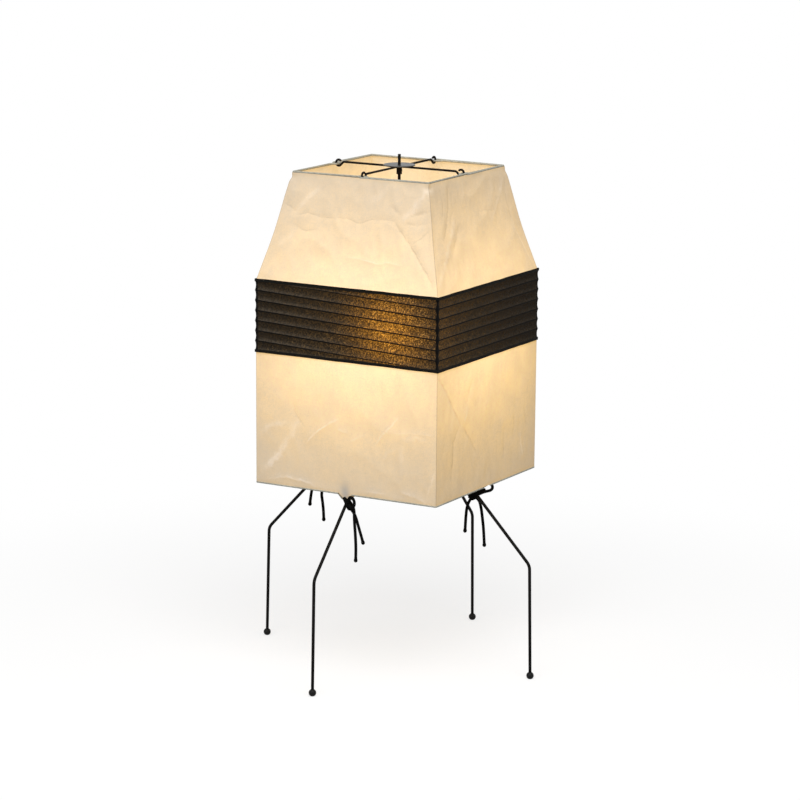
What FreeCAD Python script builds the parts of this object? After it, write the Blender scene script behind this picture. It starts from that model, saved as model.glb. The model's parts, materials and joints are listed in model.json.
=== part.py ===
import FreeCAD, Part
import Sketcher
import math
import os

# A square paper shade with a black pleated band, hung on a wire stand with four legs.
# Millimetres, +Z up, origin on the floor under the middle of the shade.
# The front of the lamp faces -Y.

V = FreeCAD.Vector
UP = V(0, 0, 1)

# Driving sizes, each set once here and read by its name everywhere else
SIZES = {
    # wire stand
    "leg_wire": 2.8,
    "leg_drop": 0.5,
    "leg_start": 9.5,
    "leg_turn_inset_front_back": 11.0,
    "leg_turn_inset_left_right": 19.0,
    "leg_knee_height": 117.5,
    "leg_splay": 2.5,
    "leg_reach_front_back": 165.0,
    "leg_reach_left_right": 156.5,
    "leg_bend_radius": 12.0,
    "foot_ball": 7.6,
    "foot_flat": 0.4,
    "foot_fit": 0.05,
    "weld_gap": 0.05,
    "hub_diameter": 52.0,
    "hub_thick": 1.6,
    "nipple_diameter": 10.0,
    "nipple_bore": 7.0,
    "nipple_stub": 2.0,
    "nut_flats": 14.0,
    "nut_thick": 4.0,
    "thread_fit": 0.1,
    # upright rod that carries the top of the shade
    "rod_wire": 3.0,
    "rod_foot_start": 13.0,
    "rod_clear": 6.5,
    "rod_azimuth": 135.0,
    "rod_crank_clear": 12.5,
    "rod_proud": 10.35,
    "rod_bend_radius": 10.0,
    # lamp holder and bulb
    "light_height": 347.5,
    "globe_diameter": 60.0,
    "neck_diameter": 25.0,
    "neck_curve_radius": 40.0,
    "neck_straight": 6.0,
    "glass_wall": 1.0,
    "cap_diameter": 26.4,
    "cap_wall": 0.5,
    "cap_fit": 0.2,
    "cap_overlap": 4.0,
    "cap_length": 25.0,
    "cap_end_diameter": 12.0,
    "cap_end_height": 2.6,
    "tip_diameter": 8.0,
    "tip_height": 1.8,
    "contact_gap": 0.2,
    "contact_diameter": 9.0,
    "contact_height": 1.0,
    "screw_fit": 0.3,
    "screw_wall": 0.5,
    "screw_length": 25.0,
    "core_height": 7.0,
    "core_fit": 0.2,
    "holder_wall": 3.0,
    "holder_length": 36.0,
    "holder_ledge": 2.0,
    "holder_cap_height": 22.0,
    "holder_cap_wall": 2.0,
    "holder_boss_diameter": 18.0,
    "holder_boss_height": 6.0,
    # shade
    "band_width": 208.0,
    "band_bottom": 327.7,
    "band_height": 71.9,
    "band_pleats": 7,
    "pleat_sag": 1.8,
    "top_width": 156.0,
    "top_edge": 507.8,
    "bottom_width": 206.0,
    "bottom_edge": 192.5,
    "paper_thick": 0.5,
    "paper_joint": 0.1,
    "rib_wire": 1.2,
    "rib_seat": 0.85,
    "rib_corner_radius": 3.0,
    "band_wire": 2.0,
    "rim_wire": 2.0,
    "rim_corner_radius": 4.0,
    "glue_gap": 0.1,
    # hooked spreader at the top
    "arm_wire": 1.8,
    "arm_rise": 1.2,
    "arm_bend_radius": 2.5,
    "hook_ring": 8.0,
    "hook_start_angle": -135.0,
    "hook_end_angle": 140.0,
    "spreader_disc": 32.0,
    "disc_thick": 1.2,
    "disc_edge_radius": 0.4,
    "sleeve_diameter": 5.6,
    "sleeve_length": 8.5,
    "slide_fit": 0.06,
    "slide_travel": 35.0,
    "grub_diameter": 1.6,
    "grub_fit": 0.05,
    "grub_drop": 5.0,
    "grub_proud": 0.3,
    "grub_azimuth": 45.0,
    # kinks in the rims
    "rim_clear": 0.3,
    "kink_seat": 0.25,
    "kink_shift": 0.2,
    "kink_flat": 4.5,
    "top_kink_depth": 5.6,
    "top_kink_ramp": 3.0,
    "bottom_kink_ramp": 5.5,
    "bottom_kink_inset_front_back": 1.0,
    "bottom_kink_inset_left_right": 9.0,
    "kink_bend_radius": 2.5,
    # ties that hold the lower rim to the legs
    "tie_cord": 2.8,
    "tie_gap": 0.25,
    "tie_half_width": 5.4,
    "tie_flare": 0.5,
    "tie_step": 3.3,
    "tie_exit": 5.0,
}

# The four sides of the lamp and the way each one faces, in degrees from +X
SIDES = {"front": -90.0, "right": 0.0, "back": 90.0, "left": 180.0}

# Loose cord of each tie as points from its middle: along the side, outward and up
SIDE_LOOP = [(4.95, 4.9, -1.4), (10.0, 7.2, -0.8), (16.0, 8.2, -1.2), (21.8, 7.8, -0.2), (24.6, 5.6, 3.0),
             (22.0, 1.6, 6.4), (15.5, -2.0, 7.2), (8.2, -2.8, 5.4), (3.2, -1.0, 5.0)]
TIES = {
    "front": {
        "first": [(10.6, 3.8, -18.0), (12.5, 4.6, -33.5), (13.3, 4.6, -48.5), (12.9, 4.6, -61.5)],
        "second": [(7.0, -3.2, -17.0), (13.0, 0.0, -25.5), (17.8, 2.0, -34.4), (21.3, 3.4, -42.5)],
        "loop": [(5.95, 4.9, -1.2), (7.2, 6.0, 1.8), (8.2, 6.6, 4.9), (10.9, 7.0, 6.2), (13.6, 6.8, 4.9),
                 (14.6, 6.4, 1.6), (13.6, 6.0, -1.9), (10.9, 5.6, -3.6), (9.4, 5.0, -4.4)],
    },
    "right": {
        "first": [(8.4, 2.0, -17.5), (10.6, 2.6, -30.0), (13.4, 2.7, -43.0), (15.2, 2.7, -60.5)],
        "second": [(-3.0, -5.6, -14.5), (-9.6, -4.6, -20.0), (-13.6, -3.6, -30.0), (-15.4, -3.3, -40.0)],
        "loop": SIDE_LOOP,
    },
    "back": {
        "first": [(9.6, 1.4, -15.0), (10.3, 1.4, -25.0), (9.7, 1.3, -34.5)],
        "second": [(1.0, -5.6, -15.5), (-2.0, -5.4, -22.0), (-3.4, -5.2, -29.0), (-3.6, -5.1, -35.5)],
        "loop": [(4.95, 4.9, -1.4), (10.2, 4.2, -0.2), (16.5, 2.9, 0.6), (20.8, 2.2, 1.6), (22.6, -0.6, 3.8),
                 (20.0, -3.2, 5.2), (14.5, -3.2, 5.2), (8.2, -2.8, 5.0), (3.2, -1.0, 5.0)],
    },
    "left": {
        "first": [(10.8, 3.2, -17.0), (12.6, 4.0, -26.0), (14.4, 4.0, -35.6)],
        "second": [(-0.5, -5.2, -15.0), (1.6, -2.0, -23.0), (-3.8, -0.6, -35.0), (-6.4, -0.2, -46.0),
                   (-7.2, 0.0, -56.0)],
        "loop": SIDE_LOOP,
    },
}

doc = FreeCAD.newDocument("paper_lamp")
sheet = doc.addObject("Spreadsheet::Sheet", "sizes")
for row, (name, value) in enumerate(SIZES.items(), start=1):
    sheet.set(f"A{row}", name)
    sheet.set(f"B{row}", str(value))
    sheet.setAlias(f"B{row}", name)
doc.recompute()

sub_parts = []


def size(name):
    return float(sheet.get(name))


def bind(item, **formulas):
    """Ties properties of a document object to cells of the sheet."""
    for name, formula in formulas.items():
        item.setExpression(name, formula)
    return item


def finished(item, label):
    """Gives a sub-part its own name and puts it on the list of pieces."""
    item.Label = label
    sub_parts.append(item)
    return item


def turned(side):
    """The turn about Z that brings a piece drawn towards +X to a side of the lamp."""
    return FreeCAD.Placement(V(), FreeCAD.Rotation(UP, SIDES[side]))


def plane_of(body, role):
    return next(item for item in body.Origin.OriginFeatures if item.Role == role)


def sketch_on(body, role, name):
    sketch = body.newObject("Sketcher::SketchObject", name)
    sketch.AttachmentSupport = [(plane_of(body, role), "")]
    sketch.MapMode = "FlatFace"
    return sketch


def rounded_path(points, radius=None):
    """Straight runs through the points, joined by tangent arcs as large as asked or as fits."""
    path = []
    radii = []
    start = points[0]
    for before, corner, after in zip(points, points[1:], points[2:]):
        back = before - corner
        ahead = after - corner
        shorter = min(back.Length, ahead.Length)
        half_turn = (math.pi - back.getAngle(ahead)) / 2
        largest = 0.45 * shorter / math.tan(half_turn)
        bend = largest if radius is None else min(radius, largest)
        cut = bend * math.tan(half_turn)
        back.normalize()
        ahead.normalize()
        first = corner + back * cut
        last = corner + ahead * cut
        inward = (back + ahead).normalize()
        middle = corner + inward * (bend / math.cos(half_turn) - bend)
        path.append(Part.LineSegment(start, first))
        path.append(Part.Arc(first, middle, last))
        radii.append(bend)
        start = last
    path.append(Part.LineSegment(start, points[-1]))
    return path, radii


def tube_shape(path, diameter):
    """A round bar swept along the path."""
    spine = Part.Wire([piece.toShape() for piece in path])
    start = path[0].StartPoint
    ring = Part.Circle(start, path[0].EndPoint - start, diameter / 2)
    return spine.makePipeShell([Part.Wire(ring.toShape())], True, False), spine


def least_gap(spine, diameter, spacing):
    """Least clear distance of a wound tube to itself, on points along its line."""
    points = spine.discretize(Number=int(spine.Length / spacing) + 2)
    skip = int(4 * diameter / spacing) + 1
    nearest = min((a.distanceToPoint(b) for number, a in enumerate(points) for b in points[number + skip:]),
                  default=spine.Length)
    return nearest - diameter


def bent_bar(label, path, diameter, side=None):
    """A bar bent in one upright plane: its line is drawn in X and Z, then turned to its side."""
    body = doc.addObject("PartDesign::Body", label)
    line = sketch_on(body, "XZ_Plane", label + "_line")
    for piece in path:
        line.addGeometry(piece, False)
    section = sketch_on(body, "YZ_Plane", label + "_section")
    start = path[0].StartPoint
    section.AttachmentOffset = FreeCAD.Placement(V(0, 0, start.x), FreeCAD.Rotation())
    section.addGeometry(Part.Circle(V(0, start.y, 0), UP, size(diameter) / 2), False)
    section.addConstraint(Sketcher.Constraint("Radius", 0, size(diameter) / 2))
    section.setExpression("Constraints[0]", f"sizes.{diameter} / 2")
    pipe = body.newObject("PartDesign::AdditivePipe", label + "_pipe")
    pipe.Profile = section
    pipe.Spine = (line, [f"Edge{number}" for number in range(1, len(path) + 1)])
    body.Tip = pipe
    if side is not None:
        body.Placement = turned(side)
    return finished(body, label)


def revolved(label, outline):
    """A turned piece from a closed outline of radius and height, as lines and arcs."""
    body = doc.addObject("PartDesign::Body", label)
    sketch = sketch_on(body, "XZ_Plane", label + "_outline")
    for piece in outline:
        sketch.addGeometry(piece, False)
    turn = body.newObject("PartDesign::Revolution", label + "_turn")
    turn.Profile = sketch
    turn.ReferenceAxis = (sketch, ["V_Axis"])
    turn.Angle = 360
    body.Tip = turn
    return finished(body, label)


def closed_lines(points):
    """A closed outline of straight lines through points of radius and height."""
    corners = [V(radius, height, 0) for radius, height in points]
    return [Part.LineSegment(a, b) for a, b in zip(corners, corners[1:] + corners[:1])]


def cylinder(name, radius, height, bottom):
    item = doc.addObject("Part::Cylinder", name)
    bind(item, Radius=radius, Height=height)
    item.setExpression("Placement.Base.z", bottom)
    return item


def difference(name, base, tool):
    item = doc.addObject("Part::Cut", name)
    item.Base = base
    item.Tool = tool
    return item


def common(name, base, tool):
    item = doc.addObject("Part::Common", name)
    item.Base = base
    item.Tool = tool
    return item


# Heights that follow from how the pieces stack
FOOT_CENTRE = size("foot_ball") / 2 - size("foot_flat")
LEG_LEVEL = size("bottom_edge") - size("leg_drop")
HUB_BOTTOM = LEG_LEVEL + size("leg_wire") / 2 + size("weld_gap")
HUB_TOP = HUB_BOTTOM + size("hub_thick")
BAND_TOP = size("band_bottom") + size("band_height")
PITCH = size("band_height") / size("band_pleats")
ARM_LEVEL = size("top_edge") + size("arm_rise")
DISC_BOTTOM = ARM_LEVEL + size("arm_wire") / 2 + size("weld_gap")
HUB_BOTTOM_FORMULA = "sizes.bottom_edge - sizes.leg_drop + sizes.leg_wire / 2 + sizes.weld_gap"
DISC_BOTTOM_FORMULA = "sizes.top_edge + sizes.arm_rise + sizes.arm_wire / 2 + sizes.weld_gap"


def pair_size(name, side):
    """A size that is one for front and back and another for left and right."""
    pair = "front_back" if side in ("front", "back") else "left_right"
    return size(f"{name}_{pair}")


def leg_corners(side):
    """Corners of a leg's line as radius and height, from the hub out and down to the foot."""
    reach = pair_size("leg_reach", side)
    return [
        V(size("leg_start"), LEG_LEVEL, 0),
        V(size("bottom_width") / 2 - pair_size("leg_turn_inset", side), LEG_LEVEL, 0),
        V(reach - size("leg_splay"), size("leg_knee_height"), 0),
        V(reach, FOOT_CENTRE, 0),
    ]


def make_legs():
    for side in SIDES:
        path, _ = rounded_path(leg_corners(side), size("leg_bend_radius"))
        bent_bar(f"leg_{side}", path, "leg_wire", side)


def make_feet():
    """Ball feet with a hole for the leg's end and a small flat to stand on."""
    for side in SIDES:
        knee, foot = leg_corners(side)[2:]
        centre = turned(side).multVec(V(foot.x, 0, foot.y))
        along = turned(side).multVec(V(knee.x - foot.x, 0, knee.y - foot.y))
        ball = bind(doc.addObject("Part::Sphere", f"ball_{side}"), Radius="sizes.foot_ball / 2")
        ball.Placement = FreeCAD.Placement(centre, FreeCAD.Rotation())
        hole = doc.addObject("Part::Cylinder", f"ball_hole_{side}")
        bind(hole, Radius="sizes.leg_wire / 2 + sizes.foot_fit", Height="sizes.foot_ball")
        sunk = centre - along.normalize() * size("foot_fit")
        hole.Placement = FreeCAD.Placement(sunk, FreeCAD.Rotation(UP, along))
        drilled = difference(f"ball_drilled_{side}", ball, hole)
        block = doc.addObject("Part::Box", f"ball_block_{side}")
        bind(block, Length="sizes.foot_ball", Width="sizes.foot_ball", Height="sizes.foot_ball")
        half = size("foot_ball") / 2
        block.Placement = FreeCAD.Placement(V(centre.x - half, centre.y - half, 0), FreeCAD.Rotation())
        finished(common(f"foot_{side}", drilled, block), f"foot_{side}")


def make_hub():
    """Plate welded on the legs, with the threaded pipe and its two nuts in the middle."""
    plate = cylinder("hub_disc", "sizes.hub_diameter / 2", "sizes.hub_thick", HUB_BOTTOM_FORMULA)
    hole = cylinder("hub_hole", "sizes.nipple_diameter / 2 + sizes.thread_fit", "sizes.hub_thick",
                    HUB_BOTTOM_FORMULA)
    finished(difference("hub_plate", plate, hole), "hub_plate")
    nipple_bottom = f"{HUB_BOTTOM_FORMULA} - sizes.nut_thick - sizes.nipple_stub"
    length = nipple_top() - (HUB_BOTTOM - size("nut_thick") - size("nipple_stub"))
    pipe = cylinder("nipple_pipe", "sizes.nipple_diameter / 2", str(length), nipple_bottom)
    bore = cylinder("nipple_hole", "sizes.nipple_bore / 2", str(length), nipple_bottom)
    finished(difference("nipple", pipe, bore), "nipple")
    nuts = []
    for name, bottom in (("lower", f"{HUB_BOTTOM_FORMULA} - sizes.nut_thick"),
                         ("upper", f"{HUB_BOTTOM_FORMULA} + sizes.hub_thick")):
        hexagon = doc.addObject("Part::Prism", f"nut_hexagon_{name}")
        hexagon.Polygon = 6
        bind(hexagon, Circumradius="sizes.nut_flats / sqrt(3)", Height="sizes.nut_thick")
        hexagon.setExpression("Placement.Base.z", bottom)
        thread = cylinder(f"nut_thread_{name}", "sizes.nipple_diameter / 2 + sizes.thread_fit",
                          "sizes.nut_thick", bottom)
        nuts.append(difference(f"nut_{name}", hexagon, thread))
    pair = doc.addObject("Part::Compound", "nipple_nuts")
    pair.Links = nuts
    finished(pair, "nipple_nuts")


# Heights up the bulb and its holder, worked down from the middle of the globe
def neck_centre_height():
    globe = size("globe_diameter") / 2 + size("neck_curve_radius")
    neck = size("neck_diameter") / 2 + size("neck_curve_radius")
    return size("light_height") - math.sqrt(globe * globe - neck * neck)


def cap_top():
    return neck_centre_height() - size("neck_straight") + size("cap_overlap")


def tip_bottom():
    return cap_top() - size("cap_length") - size("tip_height")


def core_top():
    return tip_bottom() - size("contact_gap") - size("contact_height")


def holder_bottom():
    return core_top() - size("core_height") - size("holder_ledge")


def holder_cap_bottom():
    return holder_bottom() - size("holder_cap_height")


def nipple_top():
    return holder_cap_bottom() + size("holder_boss_height") + size("holder_cap_wall")


def make_bulb():
    """Pear-shaped glass envelope and its screw cap."""
    centre = size("light_height")
    turn_height = neck_centre_height()
    bottom = turn_height - size("neck_straight")
    curve = size("neck_curve_radius")
    neck = size("neck_diameter") / 2
    curve_centre = V(neck + curve, turn_height, 0)
    globe_centre = V(0, centre, 0)

    def side_of_bulb(offset):
        """Points up one face of the glass, which is drawn in by the offset."""
        globe = size("globe_diameter") / 2 - offset
        toward = (curve_centre - globe_centre).normalize()
        meeting = globe_centre + toward * globe
        start = V(neck - offset, turn_height, 0)
        hollow = (start - curve_centre) + (meeting - curve_centre)
        waist = curve_centre + hollow.normalize() * (curve + offset)
        shoulder_angle = math.atan2(toward.y, toward.x)
        belly_angle = (shoulder_angle + math.pi / 2) / 2
        belly = globe_centre + V(math.cos(belly_angle), math.sin(belly_angle), 0) * globe
        return start, waist, meeting, belly, V(0, centre + globe, 0)

    outer = side_of_bulb(0)
    inner = side_of_bulb(size("glass_wall"))
    outer_foot = V(outer[0].x, bottom, 0)
    inner_foot = V(inner[0].x, bottom, 0)
    revolved("bulb_glass", [
        Part.LineSegment(inner_foot, outer_foot),
        Part.LineSegment(outer_foot, outer[0]),
        Part.Arc(outer[0], outer[1], outer[2]),
        Part.Arc(outer[2], outer[3], outer[4]),
        Part.LineSegment(outer[4], inner[4]),
        Part.Arc(inner[4], inner[3], inner[2]),
        Part.Arc(inner[2], inner[1], inner[0]),
        Part.LineSegment(inner[0], inner_foot),
    ])
    top = cap_top()
    low = top - size("cap_length")
    shoulder = low + size("cap_end_height")
    wall = size("cap_wall")
    outside = size("cap_diameter") / 2
    end = size("cap_end_diameter") / 2
    tip = size("tip_diameter") / 2
    revolved("bulb_cap", closed_lines([
        (outside - wall, top), (outside, top), (outside, shoulder), (end, low), (tip, low),
        (tip / 2, tip_bottom()), (0, tip_bottom()), (0, low + wall), (end, low + wall),
        (outside - wall, shoulder + wall),
    ]))


def make_holder():
    """Screw-in lamp holder on top of the threaded pipe."""
    screw_inside = size("cap_diameter") / 2 + size("screw_fit")
    screw_outside = screw_inside + size("screw_wall")
    core_height = core_top()
    revolved("socket_screw_shell", closed_lines([
        (screw_inside, core_height), (screw_outside, core_height),
        (screw_outside, core_height + size("screw_length")),
        (screw_inside, core_height + size("screw_length")),
    ]))
    contact = size("contact_diameter") / 2
    contact_top = core_height + size("contact_height")
    revolved("socket_contact", closed_lines([
        (0, core_height), (contact, core_height), (contact, core_height + size("contact_height") / 2),
        (contact / 2, contact_top), (0, contact_top),
    ]))
    core_bottom = core_height - size("core_height")
    revolved("socket_core", closed_lines([
        (0, core_bottom), (screw_outside, core_bottom), (screw_outside, core_height), (0, core_height),
    ]))
    inside = screw_outside + size("core_fit")
    outside = inside + size("holder_wall")
    bottom = holder_bottom()
    ledge = size("holder_ledge")
    revolved("socket_body", closed_lines([
        (inside - ledge, bottom), (outside, bottom), (outside, bottom + size("holder_length")),
        (inside, bottom + size("holder_length")), (inside, bottom + ledge), (inside - ledge, bottom + ledge),
    ]))
    cap_bottom = holder_cap_bottom()
    boss = size("holder_boss_diameter") / 2
    boss_top = cap_bottom + size("holder_boss_height")
    hole = size("nipple_diameter") / 2 + size("thread_fit")
    wall = size("holder_cap_wall")
    slope_top = bottom - wall
    revolved("socket_cap", closed_lines([
        (hole, cap_bottom), (boss, cap_bottom), (boss, boss_top), (outside, slope_top), (outside, bottom),
        (outside - wall, bottom), (outside - wall, slope_top + wall / 2), (boss, boss_top + wall),
        (hole, boss_top + wall),
    ]))


def make_rod():
    """Upright rod: foot on the plate, riser beside the bulb, crank back to the middle."""
    foot_height = HUB_TOP + size("rod_wire") / 2 + size("weld_gap")
    offset = (size("globe_diameter") + size("rod_wire")) / 2 + size("rod_clear")
    crank_top = DISC_BOTTOM - size("sleeve_length") - size("slide_travel") - size("rod_crank_clear")
    corners = [
        V(size("rod_foot_start"), foot_height, 0),
        V(offset, foot_height, 0),
        V(offset, crank_top - offset, 0),
        V(0, crank_top, 0),
        V(0, DISC_BOTTOM + size("disc_thick") + size("rod_proud"), 0),
    ]
    path, _ = rounded_path(corners, size("rod_bend_radius"))
    rod = bent_bar("upright_rod", path, "rod_wire")
    rod.Placement = FreeCAD.Placement(V(), FreeCAD.Rotation(UP, size("rod_azimuth")))


def hook_path():
    """Line of one arm: out under the disc, down at a slant and round into an open hook."""
    ring = (size("hook_ring") - size("arm_wire")) / 2
    centre = V(hook_reach(), size("top_edge"), 0)
    angles = [math.radians(size(name)) for name in ("hook_start_angle", "hook_end_angle")]
    points = [centre + V(math.cos(a), math.sin(a), 0) * ring
              for a in (angles[0], (angles[0] + angles[1]) / 2, angles[1])]
    start_angle = angles[0]
    slant = V(-math.sin(start_angle), math.cos(start_angle), 0)
    rise = (ARM_LEVEL - points[0].y) / slant.y
    corner = points[0] + slant * rise
    start = V(size("sleeve_diameter") / 2 + size("weld_gap"), ARM_LEVEL, 0)
    path, _ = rounded_path([start, corner, points[0]], size("arm_bend_radius"))
    return path + [Part.Arc(*points)]


def make_spreader():
    """Disc, sleeve and four hooked arms that slide on the rod and hold the top rim."""
    bore = "sizes.rod_wire / 2 + sizes.slide_fit"
    disc = cylinder("disc_blank", "sizes.spreader_disc / 2", "sizes.disc_thick", DISC_BOTTOM_FORMULA)
    soft = doc.addObject("Part::Fillet", "disc_softened")
    soft.Base = disc
    doc.recompute()
    rims = [number for number, edge in enumerate(disc.Shape.Edges, start=1)
            if isinstance(edge.Curve, Part.Circle)]
    edge_radius = size("disc_edge_radius")
    soft.Edges = [(number, edge_radius, edge_radius) for number in rims]
    disc_hole = cylinder("disc_hole", bore, "sizes.disc_thick", DISC_BOTTOM_FORMULA)
    finished(difference("spreader_disc_plate", soft, disc_hole), "spreader_disc")
    sleeve_bottom = f"{DISC_BOTTOM_FORMULA} - sizes.sleeve_length"
    tube = cylinder("sleeve_tube", "sizes.sleeve_diameter / 2", "sizes.sleeve_length", sleeve_bottom)
    hole = cylinder("sleeve_hole", bore, "sizes.sleeve_length", sleeve_bottom)
    bored = difference("sleeve_bored", tube, hole)
    across = V(math.cos(math.radians(size("grub_azimuth"))), math.sin(math.radians(size("grub_azimuth"))), 0)
    sideways = FreeCAD.Rotation(UP, across)
    screw_height = V(0, 0, DISC_BOTTOM - size("grub_drop"))
    tapped = doc.addObject("Part::Cylinder", "sleeve_tapped_hole")
    bind(tapped, Radius="sizes.grub_diameter / 2 + sizes.grub_fit", Height="sizes.sleeve_diameter")
    tapped.Placement = FreeCAD.Placement(screw_height, sideways)
    finished(difference("spreader_sleeve", bored, tapped), "spreader_sleeve")
    grub = doc.addObject("Part::Cylinder", "spreader_screw")
    grub_start = size("rod_wire") / 2 + 2 * size("slide_fit")
    bind(grub, Radius="sizes.grub_diameter / 2")
    grub.Height = size("sleeve_diameter") / 2 + size("grub_proud") - grub_start
    grub.Placement = FreeCAD.Placement(screw_height + across * grub_start, sideways)
    finished(grub, "spreader_screw")
    for side in SIDES:
        bent_bar(f"hook_arm_{side}", hook_path(), "arm_wire", side)


def kinked_square(half, height, kink_of):
    """Corners of a square wire with a kink in the middle of each side, closed at mid-corner."""
    points = []
    for side in SIDES:
        depth, drop, ramp = kink_of(side)
        flat = size("kink_flat")
        outline = [
            V(half, -flat - ramp, height),
            V(half - depth, -flat, height - drop),
            V(half - depth, flat, height - drop),
            V(half, flat + ramp, height),
            V(half, half, height),
        ]
        points += [turned(side).multVec(point) for point in outline]
    seam = (points[-1] + points[0]) / 2
    return [seam] + points + [seam]


def round_loop(label, points, radius, diameter):
    """A wire bent to a closed loop, kept as one solid."""
    path, _ = rounded_path(points, radius)
    shape, _ = tube_shape(path, diameter)
    item = doc.addObject("Part::Feature", label)
    item.Shape = shape
    item.Placement = FreeCAD.Placement()
    return finished(item, label)


def panel_half(height, low, low_half, high, high_half):
    return low_half + (high_half - low_half) * (height - low) / (high - low)


def top_rim_half():
    """Half width of the top rim, which lies just inside the sloping paper."""
    rise = size("top_edge") - BAND_TOP
    run = (size("band_width") - size("top_width")) / 2
    rim_height = top_rim_height()
    outside = panel_half(rim_height, BAND_TOP, size("band_width") / 2, size("top_edge"), size("top_width") / 2)
    lean = math.sqrt(rise * rise + run * run) / rise
    return outside - size("paper_thick") - (size("rim_wire") / 2 + size("rim_clear")) * lean


def top_rim_height():
    """The rim hangs in the hooks, a little below the middle of their rings."""
    hole = (size("hook_ring") - 2 * size("arm_wire")) / 2
    play = hole - size("rim_wire") / 2 - size("kink_seat")
    return size("top_edge") - math.sqrt(play * play - size("kink_shift") ** 2)


def hook_reach():
    """How far out the middles of the hooks are, at the kinks of the rim."""
    return top_rim_half() - size("top_kink_depth") - size("kink_shift")


def bottom_rim_height():
    return size("bottom_edge") + size("rim_wire") / 2


def bottom_rim_half():
    return size("bottom_width") / 2 - size("paper_thick") - size("glue_gap") - size("rim_wire") / 2


def tie_crossing(side):
    """Where a kink of the lower rim lies on its leg: rim point, leg direction and normal."""
    turn, knee = leg_corners(side)[1:3]
    along = (knee - turn).normalize()
    away = V(-along.y, along.x, 0)
    reach = bottom_rim_half() - pair_size("bottom_kink_inset", side)
    on_leg = turn + along * ((reach - turn.x) / along.x)
    stand_off = (size("rim_wire") + size("leg_wire")) / 2 + size("kink_seat")
    return V(reach, on_leg.y + stand_off / away.y, 0), along, away


def bottom_kink(side):
    rim_point, _, _ = tie_crossing(side)
    inset = pair_size("bottom_kink_inset", side)
    return inset, bottom_rim_height() - rim_point.y, size("bottom_kink_ramp")


def top_kink(side):
    return size("top_kink_depth"), 0, size("top_kink_ramp")


def make_rims():
    """Paper-covered wire rims, the band's edge wires and the one long rib inside the pleats."""
    bend = size("kink_bend_radius")
    round_loop("top_rim", kinked_square(top_rim_half(), top_rim_height(), top_kink), bend, size("rim_wire"))
    round_loop("bottom_rim", kinked_square(bottom_rim_half(), bottom_rim_height(), bottom_kink), bend,
               size("rim_wire"))
    for label, height in (("band_bottom_wire", size("band_bottom")), ("band_top_wire", BAND_TOP)):
        half = (size("band_width") - size("band_wire")) / 2 - size("rib_seat")
        seam = V(half, 0, height)
        corners = [V(half, half, height), V(-half, half, height), V(-half, -half, height), V(half, -half, height)]
        round_loop(label, [seam] + corners + [seam], size("rim_corner_radius"), size("band_wire"))
    make_rib()


def make_rib():
    """One rib wire: level on three sides, and a step down of one pleat on each pass of the front."""
    half = size("band_width") / 2 - size("rib_seat") - size("rib_wire") / 2
    inset = size("rib_wire") + size("band_wire") + 2 * size("glue_gap")
    points = []
    turns = int(size("band_pleats"))
    for number in range(turns):
        left = BAND_TOP - PITCH * number
        right = left - PITCH
        points.append(V(-half, -half, left))
        points.append(V(half, -half, right))
        points.append(V(half, half, right))
        points.append(V(-half, half, right))
    points = points[:-2]
    lean = PITCH / (2 * half)
    points[0] = V(-half + inset / lean / 2, -half, BAND_TOP - inset / 2)
    points[-1] = V(half - inset / lean / 2, -half, size("band_bottom") + inset / 2)
    path, _ = rounded_path(points, size("rib_corner_radius"))
    shape, spine = tube_shape(path, size("rib_wire"))
    section = math.pi * size("rib_wire") ** 2 / 4
    print("band_rib volume over section times length", round(shape.Volume / (section * spine.Length), 4),
          "least gap to itself", round(least_gap(spine, size("rib_wire"), PITCH / 2), 2))
    item = doc.addObject("Part::Feature", "band_rib")
    item.Shape = shape
    item.Placement = FreeCAD.Placement()
    finished(item, "band_rib")


def frustum(name, low, high, low_width, high_width, inset):
    """A four-sided block between two heights, narrowed all round by the inset."""
    block = doc.addObject("Part::Wedge", name)
    low_half = f"{low_width} / 2 - {inset}"
    high_half = f"{high_width} / 2 - {inset}"
    bind(block, Xmin=f"-({low_half})", Xmax=low_half, Zmin=f"-({low_half})", Zmax=low_half,
         X2min=f"-({high_half})", X2max=high_half, Z2min=f"-({high_half})", Z2max=high_half,
         Ymin=low, Ymax=high)
    block.Placement = FreeCAD.Placement(V(), FreeCAD.Rotation(V(1, 0, 0), 90))
    return block


def make_sector(side):
    """Upright block that keeps one side of the shade, cut back along the corners."""
    body = doc.addObject("PartDesign::Body", f"sector_{side}")
    sketch = sketch_on(body, "XY_Plane", f"sector_{side}_outline")
    far = size("band_width")
    gap = size("paper_joint")
    for piece in closed_lines([(gap, 0), (far, far - gap), (far, gap - far)]):
        sketch.addGeometry(piece, False)
    block = body.newObject("PartDesign::Pad", f"sector_{side}_block")
    block.Profile = sketch
    bind(block, Length="sizes.top_edge + sizes.foot_ball")
    body.Tip = block
    body.Placement = turned(side)
    return body


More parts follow.
